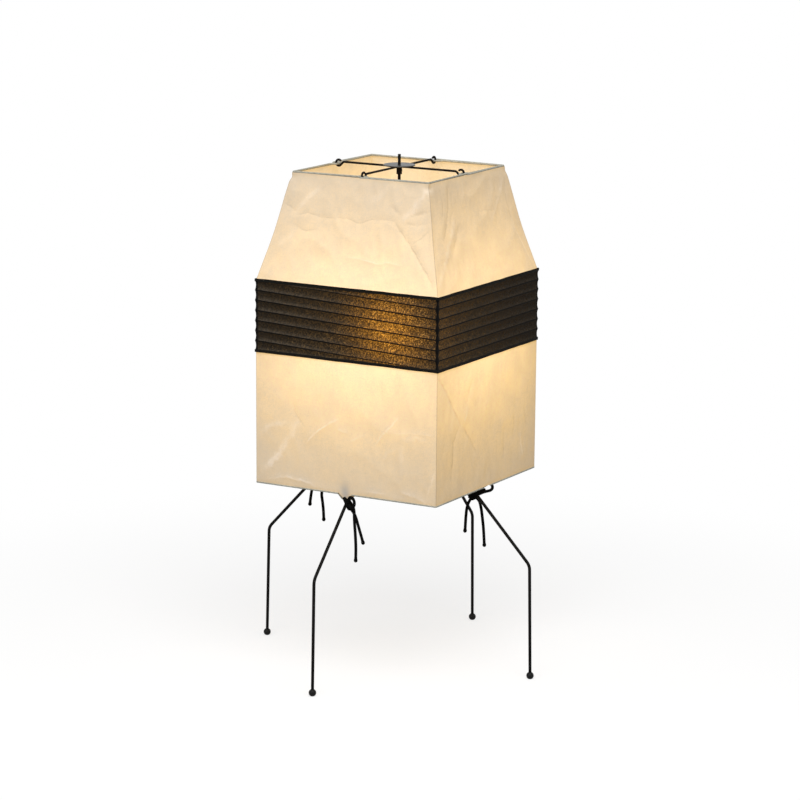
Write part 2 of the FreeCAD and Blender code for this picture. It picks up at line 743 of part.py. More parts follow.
def pleated_sheet(side):
    """Black paper hung in scallops between the ribs, slanted on the front with flat ends."""
    width = size("band_width")
    slant = math.atan2(PITCH, width) if side == "front" else 0.0
    pitch = PITCH * math.cos(slant)
    count = int(size("band_pleats"))
    margin = 0.0
    if side == "front":
        count = count - 1
        margin = 2 * pitch
    bottom = -pitch * count / 2
    face = width / 2
    thick = size("paper_thick")
    sag = size("pleat_sag")
    outer = []
    inner = []
    for number in range(count):
        low = bottom + number * pitch
        levels = (low, low + pitch / 2, low + pitch)
        for line, shift in ((outer, 0), (inner, thick)):
            depths = (face - shift, face - shift - sag, face - shift)
            line.append([V(depth, level, 0) for depth, level in zip(depths, levels)])
    body = doc.addObject("PartDesign::Body", f"pleats_{side}")
    sketch = sketch_on(body, "XZ_Plane", f"pleats_{side}_outline")
    for arc in outer + inner:
        sketch.addGeometry(Part.Arc(*arc), False)
    lowest = [line[0][0] - V(0, margin, 0) for line in (inner, outer)]
    highest = [line[-1][2] + V(0, margin, 0) for line in (inner, outer)]
    sketch.addGeometry(Part.LineSegment(*lowest), False)
    sketch.addGeometry(Part.LineSegment(*highest), False)
    if margin:
        for line, low, high in zip((inner, outer), lowest, highest):
            sketch.addGeometry(Part.LineSegment(low, line[0][0]), False)
            sketch.addGeometry(Part.LineSegment(line[-1][2], high), False)
    sheet_pad = body.newObject("PartDesign::Pad", f"pleats_{side}_sheet")
    sheet_pad.Profile = sketch
    sheet_pad.Midplane = True
    bind(sheet_pad, Length="sizes.band_width * 1.1")
    body.Tip = sheet_pad
    middle = V(0, 0, (size("band_bottom") + BAND_TOP) / 2)
    tilt = FreeCAD.Placement(middle, FreeCAD.Rotation(V(1, 0, 0), -math.degrees(slant)))
    body.Placement = turned(side).multiply(tilt)
    return body


def make_panels():
    """Paper panels of the shade, one to each side above, on and below the band."""
    joint = "sizes.paper_joint"
    low_joint = f"sizes.band_bottom - {joint}"
    high_joint = f"sizes.band_bottom + sizes.band_height + {joint}"
    shells = {}
    for name, low, high, low_width, high_width in (
            ("upper", high_joint, "sizes.top_edge", "sizes.band_width", "sizes.top_width"),
            ("lower", "sizes.bottom_edge", low_joint, "sizes.bottom_width", "sizes.band_width")):
        outside = frustum(f"{name}_outside", low, high, low_width, high_width, "0")
        inside = frustum(f"{name}_inside", low, high, low_width, high_width, "sizes.paper_thick")
        shells[name] = difference(f"{name}_shell", outside, inside)
    band_block = doc.addObject("Part::Box", "band_block")
    bind(band_block, Length="sizes.band_width * 2", Width="sizes.band_width * 2",
         Height=f"sizes.band_height - 2 * {joint}")
    reach = size("band_width")
    lowest = size("band_bottom") + size("paper_joint")
    band_block.Placement = FreeCAD.Placement(V(-reach, -reach, lowest), FreeCAD.Rotation())
    for side in SIDES:
        wedge = make_sector(side)
        finished(common(f"upper_panel_{side}", shells["upper"], wedge), f"upper_panel_{side}")
        finished(common(f"lower_panel_{side}", shells["lower"], wedge), f"lower_panel_{side}")
        trimmed = common(f"pleats_trimmed_{side}", pleated_sheet(side), band_block)
        finished(common(f"band_panel_{side}", trimmed, wedge), f"band_panel_{side}")


def tie_frame(side):
    """Middle of a tie and its own three directions, drawn towards +X with the rim along Y."""
    rim_point, along, away = tie_crossing(side)
    leg = V(along.x, 0, along.y)
    normal = V(away.x, 0, away.y)
    stand_off = (size("rim_wire") + size("leg_wire")) / 2 + size("kink_seat")
    middle = V(rim_point.x, 0, rim_point.y) - normal * (stand_off / 2)
    across = (V(0, -1, 0) - leg).normalize()
    forward = (V(0, -1, 0) + leg).normalize()
    over_rim = stand_off / 2 + (size("rim_wire") + size("tie_cord")) / 2 + size("tie_gap")
    under_leg = stand_off / 2 + (size("leg_wire") + size("tie_cord")) / 2 + size("tie_gap")
    return middle, across, normal, forward, over_rim, under_leg


def wrap_points(side):
    """One turn of cord round the crossing of rim and leg, starting and ending low on the outside."""
    middle, across, normal, forward, over_rim, under_leg = tie_frame(side)
    half = size("tie_half_width")
    flare = size("tie_flare")
    step = size("tie_step")
    corners = [
        (-half, -under_leg, -step / 2),
        (half, -under_leg, -step / 4),
        (half, over_rim, 0),
        (-half - flare, over_rim, step / 4),
        (-half - 2 * flare, -under_leg, step / 2),
    ]
    return [middle + across * a + normal * n + forward * f for a, n, f in corners]


def cord_piece(label, side, points):
    """A cord of the tie along its points, turned to its side; prints how tightly it bends."""
    path, radii = rounded_path(points)
    shape, spine = tube_shape(path, size("tie_cord"))
    section = math.pi * size("tie_cord") ** 2 / 4
    print(label, "radii", [round(radius, 1) for radius in radii], "length", round(spine.Length, 1),
          "volume over section times length", round(shape.Volume / (section * spine.Length), 4),
          "least gap to itself", round(least_gap(spine, size("tie_cord"), size("tie_gap")), 2))
    item = doc.addObject("Part::Feature", label)
    item.Shape = shape
    item.Placement = turned(side)
    return finished(item, label)


def make_ties():
    """Cord ties: a turn round rim and leg, a slipped loop and two hanging ends on each side."""
    for side, ends in TIES.items():
        middle, _, _, _, _, _ = tie_frame(side)
        turn = wrap_points(side)
        cord_piece(f"tie_wrap_{side}", side, turn)
        exits = {
            "first": (turn[0], turn[0] - turn[1]),
            "second": (turn[-1], turn[-1] - turn[-2]),
        }
        for end, (start, heading) in exits.items():
            lead = start + heading.normalize() * size("tie_exit")
            hanging = [middle + V(out, along, rise) for along, out, rise in ends[end]]
            cord_piece(f"tie_tail_{end}_{side}", side, [start, lead] + hanging)
        loop = [middle + V(out, along, rise) for along, out, rise in ends["loop"]]
        cord_piece(f"tie_loop_{side}", side, loop)


make_legs()
make_feet()
make_hub()
make_holder()
make_bulb()
make_rod()
make_spreader()
make_rims()
make_panels()
make_ties()

doc.recompute()
failed = [item.Name for item in doc.Objects if "Invalid" in item.State or "Error" in item.State]
for item in sub_parts:
    if item.Shape.isNull() or not item.Shape.isValid() or item.Shape.Volume <= 0:
        failed.append(item.Label)
if failed:
    raise RuntimeError("these pieces did not build: " + ", ".join(failed))

os.makedirs("parts", exist_ok=True)
for item in sub_parts:
    item.Shape.exportStep(os.path.join("parts", item.Label + ".step"))
print("wrote", len(sub_parts), "pieces")
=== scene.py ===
# %% [markdown]
# # Dressing a paper table lamp
# The lamp is a tall square shade of white paper with a pleated black band, hung on a stand of bent
# wire. Every piece could be rebuilt here from nothing, but then nothing would fit. The CAD model
# already holds each one at its real size and place, so it is loaded as a fixed frame, and only the
# looks are made: paper, pleats, cords, finishes.

# %% Load the frame
import json
import math

import bmesh
import bpy
import numpy as np
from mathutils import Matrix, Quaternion, Vector, noise


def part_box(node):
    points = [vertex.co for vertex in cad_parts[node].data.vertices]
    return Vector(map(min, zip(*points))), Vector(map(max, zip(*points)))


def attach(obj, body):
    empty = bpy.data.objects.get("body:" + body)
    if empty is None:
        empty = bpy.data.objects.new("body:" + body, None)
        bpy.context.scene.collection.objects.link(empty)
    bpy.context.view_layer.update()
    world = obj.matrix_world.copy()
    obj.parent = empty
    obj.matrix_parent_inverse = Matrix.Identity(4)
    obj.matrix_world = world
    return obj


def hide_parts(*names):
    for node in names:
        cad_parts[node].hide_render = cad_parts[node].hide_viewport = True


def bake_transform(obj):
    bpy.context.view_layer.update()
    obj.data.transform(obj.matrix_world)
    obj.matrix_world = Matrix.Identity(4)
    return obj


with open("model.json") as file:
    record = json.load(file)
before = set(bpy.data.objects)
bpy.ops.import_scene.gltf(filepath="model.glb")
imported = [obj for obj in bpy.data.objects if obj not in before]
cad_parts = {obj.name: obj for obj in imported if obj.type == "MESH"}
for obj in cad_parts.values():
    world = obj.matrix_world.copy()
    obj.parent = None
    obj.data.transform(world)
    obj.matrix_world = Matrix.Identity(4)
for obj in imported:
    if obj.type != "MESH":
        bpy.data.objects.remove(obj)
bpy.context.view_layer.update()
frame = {"nodes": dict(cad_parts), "record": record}

# %% [markdown]
# ## The camera
# The photograph was taken from a little above and to the right of the front, from far away, so the
# square shade hardly narrows towards the back. A long lens at more than three metres gives that. The
# angles were fitted to the corners of the shade and to the four feet, which is surer than turning the
# camera by eye, and the fit also showed that the camera was held with a slight tilt to one side.

# %% Camera
VIEW_AZIMUTH = math.radians(29.79)
VIEW_ELEVATION = math.radians(11.713)
VIEW_TILT = 0.0076
VIEW_DISTANCE = 3.3305
VIEW_TARGET = Vector((0.0043, -0.0025, 0.2711))
VIEW_LENS_MM = 147.71
VIEW_SENSOR_MM = 36.0

towards_camera = Vector((
    math.sin(VIEW_AZIMUTH) * math.cos(VIEW_ELEVATION),
    -math.cos(VIEW_AZIMUTH) * math.cos(VIEW_ELEVATION),
    math.sin(VIEW_ELEVATION),
))
level_view = (-towards_camera).to_track_quat("-Z", "Y")
bpy.ops.object.camera_add(
    location=VIEW_TARGET + VIEW_DISTANCE * towards_camera,
    rotation=(level_view @ Quaternion((0.0, 0.0, 1.0), VIEW_TILT)).to_euler(),
)
camera = bpy.context.object
camera.data.lens = VIEW_LENS_MM
camera.data.sensor_width = VIEW_SENSOR_MM
bpy.context.scene.camera = camera
print(f"camera {VIEW_DISTANCE} m away with a {VIEW_LENS_MM} mm lens")

# %% [markdown]
# ## A line for every cord
# Four black cords tie the bottom rim of the shade to the legs. Each goes round rim and leg, makes a
# slipped loop and hangs in two ends. A cord could be a bevelled curve, but a braid needs its own
# relief, so each is a tube of rings. The rings follow a NURBS curve whose control points are listed:
# it bends softly where straight pieces would look like bent wire.

# %% Cord lines
CORD_DIAMETER = 0.0031
RING_STEP = 0.00032
CURVE_STEPS = 24
FEWEST_RINGS = 8


def travelled(line):
    """The distance along a line at each of its points."""
    return np.concatenate([[0.0], np.cumsum(np.linalg.norm(np.diff(line, axis=0), axis=1))])


def smooth_line(points):
    """Evenly spaced points along the NURBS curve that has these control points."""
    curve = bpy.data.curves.new("route", "CURVE")
    curve.dimensions = "3D"
    curve.resolution_u = CURVE_STEPS
    spline = curve.splines.new("NURBS")
    spline.points.add(len(points) - 1)
    for control, point in zip(spline.points, points):
        control.co = (*point, 1.0)
    spline.order_u = 3
    spline.use_endpoint_u = True
    route = bpy.data.objects.new("route", curve)
    mesh = bpy.data.meshes.new_from_object(route)
    line = np.array([vertex.co for vertex in mesh.vertices])
    bpy.data.objects.remove(route)
    bpy.data.curves.remove(curve)
    bpy.data.meshes.remove(mesh)
    reached = travelled(line)
    even = np.linspace(0.0, reached[-1], max(FEWEST_RINGS, round(reached[-1] / RING_STEP)))
    return np.stack([np.interp(even, reached, line[:, axis]) for axis in range(3)], axis=1)


print("cord lines follow NURBS curves with rings every", RING_STEP, "m")

# %% [markdown]
# ## Braid
# The cord is braided from a few fat yarns, so its surface is a diamond pattern of bumps, and the ends
# are sealed into small knobs so that they don't fray. A bump in the material would vanish on the
# outline, so the relief is in the mesh: two waves that wind round the tube in opposite ways are
# multiplied, which gives the diamonds.

# %% Braided tubes
BRAID_YARNS = 4
BRAID_LAY = 0.0034
BRAID_DEPTH = 0.06
RING_SEGMENTS = 20
# How much a knob swells the cord; its place and length are counted in radii from the end.
KNOB_SWELL = 0.30
KNOB_PLACE = 1.4
KNOB_LENGTH = 0.9
# Any direction that no cord starts along.
FIRST_SIDE = (0.3, 0.5, 0.8)


def braided_tube(name, line, knob=False, radius=CORD_DIAMETER / 2, depth=BRAID_DEPTH):
    """A closed tube of braided cord along a line, with a knob at its far end if it hangs free."""
    along = travelled(line)
    left = along[-1] - along
    tangents = np.gradient(line, axis=0)
    tangents /= np.linalg.norm(tangents, axis=1, keepdims=True)
    side = np.cross(tangents[0], FIRST_SIDE)
    angles = np.linspace(0.0, math.tau, RING_SEGMENTS, endpoint=False)
    winding = math.tau / BRAID_LAY
    vertices, relief = [line[0]], [0.5]
    for ring in range(1, len(line) - 1):
        side = side - tangents[ring] * (side @ tangents[ring])
        side /= np.linalg.norm(side)
        other = np.cross(tangents[ring], side)
        diamonds = np.sin(BRAID_YARNS * angles + winding * along[ring])
        diamonds = diamonds * np.sin(BRAID_YARNS * angles - winding * along[ring])
        nearest_end = min(along[ring], left[ring], radius) / radius
        swell = 0.0
        if knob:
            swell = KNOB_SWELL * math.exp(-((left[ring] / radius - KNOB_PLACE) / KNOB_LENGTH) ** 2)
        size = radius * math.sqrt(1.0 - (1.0 - nearest_end) ** 2) * (1.0 + swell)
        reach = size * (1.0 - depth * (0.5 - 0.5 * diamonds))
        spokes = np.cos(angles)[:, None] * side + np.sin(angles)[:, None] * other
        vertices.extend(line[ring] + reach[:, None] * spokes)
        relief.extend(0.5 + 0.5 * diamonds)
    vertices.append(line[-1])
    relief.append(0.5)
    rings = len(line) - 2
    last = len(vertices) - 1
    faces = []
    for step in range(RING_SEGMENTS):
        after = (step + 1) % RING_SEGMENTS
        faces.append((0, 1 + after, 1 + step))
        for ring in range(rings - 1):
            here = 1 + ring * RING_SEGMENTS
            there = here + RING_SEGMENTS
            faces.append((here + step, here + after, there + after, there + step))
        top = 1 + (rings - 1) * RING_SEGMENTS
        faces.append((top + step, top + after, last))
    mesh = bpy.data.meshes.new(name)
    mesh.from_pydata([tuple(vertex) for vertex in vertices], [], faces)
    mesh.attributes.new("relief", "FLOAT", "POINT").data.foreach_set("value", np.array(relief, np.float32))
    mesh.shade_smooth()
    tube = bpy.data.objects.new(name, mesh)
    bpy.context.collection.objects.link(tube)
    return tube


print("braid of", BRAID_YARNS, "yarns, one turn every", BRAID_LAY, "m")

# %% [markdown]
# ## Where the ties go
# A tie is laid out once, in its own directions: along the rim, out from the shade, and up. Its middle
# is where the rim dips down to the leg, which is nearer the middle of the lamp on the left and right.
# The turn round rim and leg is the same on all sides, but every tie hangs in its own way, as hand-tied
# cords do, so the free ends have a list of points each.

# %% Tie ends
# All in millimetres: along the rim, out and up.
TURN = [(4.99, -1.36, -4.93), (-3.24, -6.20, 0.20), (-3.82, 0.27, 5.51), (3.59, 6.16, -0.73),
        (3.36, 0.72, -7.14)]
FIRST_END = {
    "front": [(8.78, 0.87, -7.30), (10.6, 3.8, -18.0), (12.5, 4.6, -33.5), (13.3, 4.6, -48.5),
              (12.9, 4.6, -61.5)],
    "right": [(5.8, 0.4, -7.8), (8.4, 2.0, -17.5), (10.6, 2.6, -30.0), (13.4, 2.7, -43.0),
              (15.2, 2.7, -60.5)],
    "back": [(8.78, 0.87, -7.30), (9.6, 1.4, -15.0), (10.3, 1.4, -25.0), (9.7, 1.3, -34.5)],
    "left": [(8.78, 0.87, -7.30), (10.8, 3.2, -17.0), (12.6, 4.0, -26.0), (14.4, 4.0, -35.6)],
}
SECOND_END = {
    "front": [(7.8, 0.6, -11.2), (11.2, 1.0, -17.0), (14.6, 1.8, -26.0), (18.2, 2.6, -34.5),
              (21.3, 3.4, -42.5)],
    "right": [(-4.2, -4.8, -9.0), (-8.4, -5.2, -15.0), (-11.2, -4.6, -22.5), (-13.6, -3.8, -31.0),
              (-15.4, -3.3, -40.0)],
    "back": [(3.22, -2.51, -10.96), (1.0, -5.6, -15.5), (-2.0, -5.4, -22.0), (-3.4, -5.2, -29.0),
             (-3.6, -5.1, -35.5)],
    "left": [(3.22, -2.51, -10.96), (-0.5, -5.2, -15.0), (1.6, -2.0, -23.0), (-3.8, -0.6, -35.0),
             (-6.4, -0.2, -46.0), (-7.2, 0.0, -56.0)],
}
print("free ends for", len(FIRST_END), "ties")

# %% [markdown]
# ## Loops and sides
# Beside each knot a slipped loop is left: on the front a small ring that stands up, on the sides a long
# one. Each tie could be drawn where it hangs, but then every number would have to be turned by hand. So
# one helper takes points from a tie's own directions to its side of the lamp.

# %% Tie loops
SIDE_LOOP = [(4.95, 4.9, -1.4), (10.0, 7.2, -0.8), (16.0, 8.2, -1.2), (21.8, 7.8, -0.2), (24.6, 5.6, 3.0),
             (22.0, 1.6, 6.4), (15.5, -2.0, 7.2), (8.2, -2.8, 5.4), (3.2, -1.0, 5.0)]
LOOP = {
    "front": [(4.6, 5.2, -2.0), (4.9, 6.0, 2.5), (7.4, 6.6, 5.2), (10.6, 7.0, 4.7), (12.6, 7.0, 1.2),
              (12.2, 6.6, -3.1), (9.6, 6.0, -5.7), (6.4, 5.6, -5.1), (4.6, 4.4, -2.2)],
    "right": [(-2.4, 0.6, -3.0), (2.0, 3.6, -2.4), *SIDE_LOOP],
    "back": [(4.95, 4.9, -1.4), (10.2, 4.2, -0.2), (16.5, 2.9, 0.6), (20.8, 2.2, 1.6), (22.6, -0.6, 3.8),
             (20.0, -3.2, 5.2), (14.5, -3.2, 5.2), (8.2, -2.8, 5.0), (3.2, -1.0, 5.0)],
    "left": SIDE_LOOP,
}
# The right knot has slipped inwards along its leg, and one more strand of it lies under the rim.
NO_SLIP = (0.0, 0.0, 0.0)
KNOT_SLIP = {"front": NO_SLIP, "right": (-5.0, -4.0, 1.0), "back": NO_SLIP, "left": NO_SLIP}
RIGHT_STRAND = [(-9.8, -4.0, -2.1), (-4.5, -1.2, -0.8), (3.0, 3.0, 0.2), (10.5, 5.5, 1.0)]
MILLIMETRE = 0.001
# How far out from the middle of the lamp a tie's own middle is, and how high, in metres.
TIE_MIDDLE = {"front": (0.09944, 0.18607), "right": (0.09143, 0.18602),
              "back": (0.09944, 0.18607), "left": (0.09143, 0.18602)}
SIDES = ("front", "right", "back", "left")
# How far each side is turned from the right one, seen from above.
SIDE_TURN = {"front": -90.0, "right": 0.0, "back": 90.0, "left": 180.0}


def on_side(side, out, along, level):
    """A place given out from the middle, along a side and up, turned to that side of the lamp."""
    turn = math.radians(SIDE_TURN[side])
    x = out * math.cos(turn) - along * math.sin(turn)
    y = out * math.sin(turn) + along * math.cos(turn)
    return (x, y, level)


def at_tie(side, points):
    """Points given along, out and up from a tie's middle, placed in the lamp."""
    reach, level = TIE_MIDDLE[side]
    return [on_side(side, reach + out * MILLIMETRE, along * MILLIMETRE, level + rise * MILLIMETRE)
            for along, out, rise in points]


print("loops for", len(LOOP), "ties")

# %% [markdown]
# ## The hitch
# A hitch holds every turn: a short coil round the place where both ends come out. It could be drawn
# point by point like the other strands, but a coil is regular, so it is worked out as a helix.

# %% Hitch
# In millimetres, like the ties.
HITCH_MIDDLE = (4.6, -0.2, -6.2)
HITCH_RADIUS = 2.3
HITCH_TURNS = 2.5
HITCH_POINTS = 30
HITCH_PITCH = 2.1


def hitch_points():
    """A short helix whose axis runs down along the hanging ends, leaning out."""
    along, out, rise = HITCH_MIDDLE
    points = []
    for step in range(HITCH_POINTS + 1):
        turned = math.tau * HITCH_TURNS * step / HITCH_POINTS
        fall = HITCH_PITCH * HITCH_TURNS * (0.5 - step / HITCH_POINTS)
        points.append((along + HITCH_RADIUS * math.cos(turned), out + HITCH_RADIUS * math.sin(turned),
                       rise + fall))
    return points


print(f"a hitch of {HITCH_TURNS} turns")

# %% [markdown]
# ## Tying the knots
# On the bench, the turn, the hitch and the front tie's small ring would be one lump, so they are joined
# into one knot, with the turn laid twice, side by side. The hanging ends and the long loops are free
# cords. They stay pieces of their own.

# %% Ties
# The second round of a turn lies beside the first by this, in millimetres.
SECOND_TURN = (0.4, 1.7, -1.8)


def moved_by(points, step):
    return [tuple(np.add(point, step)) for point in points]


def pick_only(*pieces):
    """Leaves only these pieces selected and makes the first one active."""
    bpy.ops.object.select_all(action="DESELECT")
    for piece in pieces:
        piece.select_set(True)
    bpy.context.view_layer.objects.active = pieces[0]


def free_cord(name, points, far_end, node):
    """A hanging end or a loop as a piece of its own, with a knob at its far end where that is a knot."""
    line = smooth_line(points)
    tube = braided_tube(name, line, knob=far_end == "knot")
    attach(tube, "stand")
    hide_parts(node)
    return tube


tie_pieces = []
for side in SIDES:
    turn_here = moved_by(TURN, KNOT_SLIP[side])
    ends = {"first": [turn_here[0], *FIRST_END[side]], "second": [turn_here[-1], *SECOND_END[side]]}
    for which, points in ends.items():
        tie_pieces.append(free_cord(f"cord_end_{which}_{side}", at_tie(side, points), "knot",
                                    f"tie_tail_{which}_{side}"))
    strands_here = (turn_here, moved_by(turn_here, SECOND_TURN), moved_by(hitch_points(), KNOT_SLIP[side]))
    knot_routes = [at_tie(side, points) for points in strands_here]
    if side == "right":
        knot_routes.append(at_tie(side, RIGHT_STRAND))
    loop = at_tie(side, LOOP[side])
    if side == "front":
        knot_routes.append(loop)
    else:
        tie_pieces.append(free_cord(f"cord_loop_{side}", loop, "object", f"tie_loop_{side}"))
    strands = [braided_tube(f"cord_knot_{side}", smooth_line(route)) for route in knot_routes]
    pick_only(*strands)
    bpy.ops.object.join()
    knot = strands[0]
    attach(knot, "stand")
    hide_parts(f"tie_wrap_{side}", *([f"tie_loop_{side}"] if side == "front" else []))
    tie_pieces.append(knot)
print(f"{len(tie_pieces)} pieces of cord in four ties")

# %% [markdown]
# ## Picking by place
# By hand, faces and edges are clicked. In a script they are chosen by where they lie or which way they
# face, so one small helper clears the selection and picks again. The square paper shells start as a
# cube that loses its top and bottom, tapers, and is cut into a fine mesh, which keeps the four sides
# joined along true corners.

# %% Square shells
# Heights closer than this are level.
LEVEL = 1e-6
FLAT_FACE = 0.9


def pick(shell, kind, wanted):
    """In edit mode, selects only the vertices, edges or faces that pass the test."""
    bpy.ops.mesh.select_mode(type=kind)
    bpy.ops.mesh.select_all(action="DESELECT")
    cage = bmesh.from_edit_mesh(shell.data)
    for part in {"VERT": cage.verts, "EDGE": cage.edges, "FACE": cage.faces}[kind]:
        part.select_set(wanted(part))
    bmesh.update_edit_mesh(shell.data)


def square_shell(name, low, high, half_low, half_high, columns, rows):
    """Four joined walls, open above and below, cut into columns on each side and rows."""
    bpy.ops.object.select_all(action="DESELECT")
    bpy.ops.mesh.primitive_cube_add(size=1.0, location=(0.0, 0.0, (low + high) / 2),
                                    scale=(2 * half_low, 2 * half_low, high - low))
    bpy.ops.object.transform_apply(location=True, rotation=True, scale=True)
    shell = bpy.context.object
    shell.name = name
    bpy.ops.object.mode_set(mode="EDIT")
    pick(shell, "FACE", lambda face: abs(face.normal.z) > FLAT_FACE)
    bpy.ops.mesh.delete(type="ONLY_FACE")
    pick(shell, "VERT", lambda vertex: vertex.co.z > (low + high) / 2)
    taper = half_high / half_low
    bpy.ops.transform.resize(value=(taper, taper, 1.0), center_override=(0.0, 0.0, high))
    pick(shell, "EDGE", lambda edge: abs(edge.verts[0].co.z - edge.verts[1].co.z) > LEVEL)
    bpy.ops.mesh.subdivide(number_cuts=rows - 1)
    pick(shell, "EDGE", lambda edge: abs(edge.verts[0].co.z - edge.verts[1].co.z) < LEVEL)
    bpy.ops.mesh.subdivide(number_cuts=columns - 1)
    bpy.ops.object.mode_set(mode="OBJECT")
    return shell


print("shells are picked and cut by place")

# %% [markdown]
# ## Creases
# The shade folds flat, so the paper has lived: long sharp creases run in from the corners and fine
# crumples lie between them. A noise bump alone looks like plaster, because real creases are lines. So
# each crease is a short chain of points on its side of the shade, across from -1 to 1 and up from 0 to
# 1, and the paper is lifted to a sharp ridge or pressed to a sharp valley along it. Each crease also
# has a tone, from -1 dark to 1 pale, and a width in millimetres.

# %% Crease lines
CREASES = {
    ("upper", "front"): [
        (0.35, 3.5, [(-.77, .66), (-.66, .79), (-.54, .88)]),
        (-0.5, 1.2, [(-.97, .72), (-.86, .68), (-.77, .66)]),
        (-0.6, 0.9, [(-.76, .62), (-.62, .65), (-.45, .62), (-.24, .62)]),
        (-0.5, 1.3, [(-.75, .53), (-.59, .48), (-.46, .51)]),
        (-0.6, 0.9, [(-.24, .63), (-.10, .63), (.06, .59), (.21, .64), (.41, .65), (.52, .64)]),
        (0.25, 4.5, [(.19, .79), (.29, .85), (.42, .94)]),
        (-0.6, 1.6, [(.47, .77), (.60, .70)]),
        (-1.0, 1.2, [(.51, .64), (.60, .55), (.71, .44), (.82, .30), (.90, .20), (.95, .10)]),
        (0.5, 4.5, [(.61, .66), (.75, .74), (.90, .88), (.97, .94)]),
        (-0.6, 1.3, [(.65, .63), (.80, .62), (.93, .65)]),
        (-0.5, 1.2, [(.73, .45), (.86, .52), (.95, .58)]),
        (-0.6, 1.8, [(.73, .70), (.84, .73), (.94, .75)]),
        (0.6, 1.0, [(-.04, .28), (.13, .28), (.34, .25), (.43, .27), (.60, .26)]),
        (0.25, 2.5, [(-.88, .32), (-.79, .40), (-.72, .48)]),
        (-0.3, 2.5, [(-.02, .85), (.03, .94)])],
    ("upper", "right"): [
        (-0.5, 1.0, [(-.75, .93), (-.70, .79), (-.76, .66)]),
        (-0.9, 1.2, [(-.55, .94), (-.58, .76), (-.68, .59), (-.78, .47)]),
        (-0.6, 1.0, [(-.46, .89), (-.50, .71), (-.61, .58)]),
        (0.6, 4.5, [(-.47, .64), (-.64, .45), (-.82, .24), (-.95, .10)]),
        (-0.7, 1.8, [(-.40, .57), (-.52, .44), (-.62, .33)]),
        (0.25, 2.5, [(-.16, .95), (-.23, .77)]),
        (0.4, 2.5, [(.87, .91), (.70, .78), (.51, .65), (.35, .55)]),
        (-0.5, 1.4, [(.89, .90), (.79, .70), (.77, .47)]),
        (0.5, 1.2, [(.78, .45), (.88, .23), (.95, .03)]),
        (-0.3, 1.2, [(.07, .66), (.28, .65), (.50, .63)])],
    ("lower", "front"): [
        (0.8, 4.5, [(-.93, .07), (-.84, .15), (-.73, .25), (-.61, .39), (-.54, .49)]),
        (-0.5, 0.9, [(-.58, .65), (-.56, .56), (-.47, .48)]),
        (0.45, 5.0, [(-.95, .38), (-.86, .43), (-.66, .48)]),
        (0.9, 1.2, [(-.43, .35), (-.37, .41), (-.27, .47), (-.10, .55)]),
        (0.5, 1.4, [(-.08, .48), (.03, .46)]),
        (0.4, 1.6, [(.05, .40), (.20, .46)]),
        (0.8, 1.3, [(.34, .41), (.43, .50), (.51, .56), (.57, .62)]),
        (0.4, 0.9, [(.46, .50), (.76, .52), (.98, .53)]),
        (0.35, 3.5, [(.65, .46), (.76, .49), (.88, .47)]),
        (0.3, 3.5, [(.63, .42), (.61, .31), (.62, .19)]),
        (0.3, 2.5, [(.42, .29), (.46, .35), (.54, .38)]),
        (0.7, 1.6, [(-.86, .03), (-.67, .07), (-.41, .05), (-.32, .02)]),
        (0.5, 1.4, [(.23, .04), (.46, .04)]),
        (0.7, 1.6, [(.62, .07), (.76, .05), (.91, .01)]),
        (0.6, 2.0, [(.91, .08), (.95, .16), (.98, .24)])],
    ("lower", "right"): [
        (-1.0, 1.7, [(-.97, .94), (-.80, .82), (-.64, .66), (-.51, .53)]),
        (-0.7, 1.7, [(-.48, .53), (-.34, .42), (-.19, .28)]),
        (-0.8, 1.7, [(-.56, .53), (-.66, .43), (-.68, .27), (-.70, .15)]),
        (0.6, 1.8, [(-.39, .66), (-.46, .54)]),
        (-0.5, 2.2, [(-.31, .85), (-.42, .69)]),
        (-0.3, 1.5, [(.05, .82), (.03, .66)]),
        (-0.5, 2.0, [(.36, .42), (.35, .17)]),
        (-0.5, 2.0, [(.56, .48), (.55, .29)]),
        (0.6, 1.6, [(.69, .30), (.74, .11)]),
        (-0.5, 2.0, [(.76, .51), (.81, .35)])],
}
print(sum(len(lines) for lines in CREASES.values()), "creases drawn for two sides of each paper")

# %% [markdown]
# ## Beside a crease
# The lift and the tone of the paper depend on how far a point is from a crease. That could be asked of
# a curve with the help of a modifier, but a sum is exact and quick: the nearest point on each stretch
# of the chain is found, and the nearest of them all counts. The sign tells the left of the crease from
# its right. The back repeats the front and the left the right, turned over.

# %% Beside a crease
TURNED_OVER = {"back": "front", "left": "right"}


def lines_of(part, side):
    if side in TURNED_OVER:
        return [(tone, width, [(-across, up) for across, up in line])
                for tone, width, line in CREASES[part, TURNED_OVER[side]]]
    return CREASES[part, side]


def beside_line(across, up, chain):
    """Distance of points from a crease, below zero on its left, and their place along it, from 0 to 1."""
    spans = np.linalg.norm(np.diff(chain, axis=0), axis=1)
    starts = travelled(chain)
    nearest = np.full(across.shape, np.inf)
    place = np.zeros(across.shape)
    for start, end, span, before in zip(chain[:-1], chain[1:], spans, starts):
        run = (end - start) / span
        to_side = across - start[0]
        to_top = up - start[1]
        ahead = np.clip(to_side * run[0] + to_top * run[1], 0.0, span)
        apart = np.hypot(to_side - ahead * run[0], to_top - ahead * run[1])
        apart = np.where(to_side * run[1] > to_top * run[0], apart, -apart)
        closer = np.abs(apart) < np.abs(nearest)
        nearest[closer] = apart[closer]
        place[closer] = (before + ahead[closer]) / starts[-1]
    return nearest, place


for side in SIDES:
    print(side, len(lines_of("upper", side)) + len(lines_of("lower", side)), "creases")

# %% [markdown]
# ## Moving points
# Each of the two papers has some thirty thousand points. They could be moved one by one, but it is
# quicker to read them into an array, move all at once and write them back. Numbers that a material
# needs later are kept with the points as attributes.

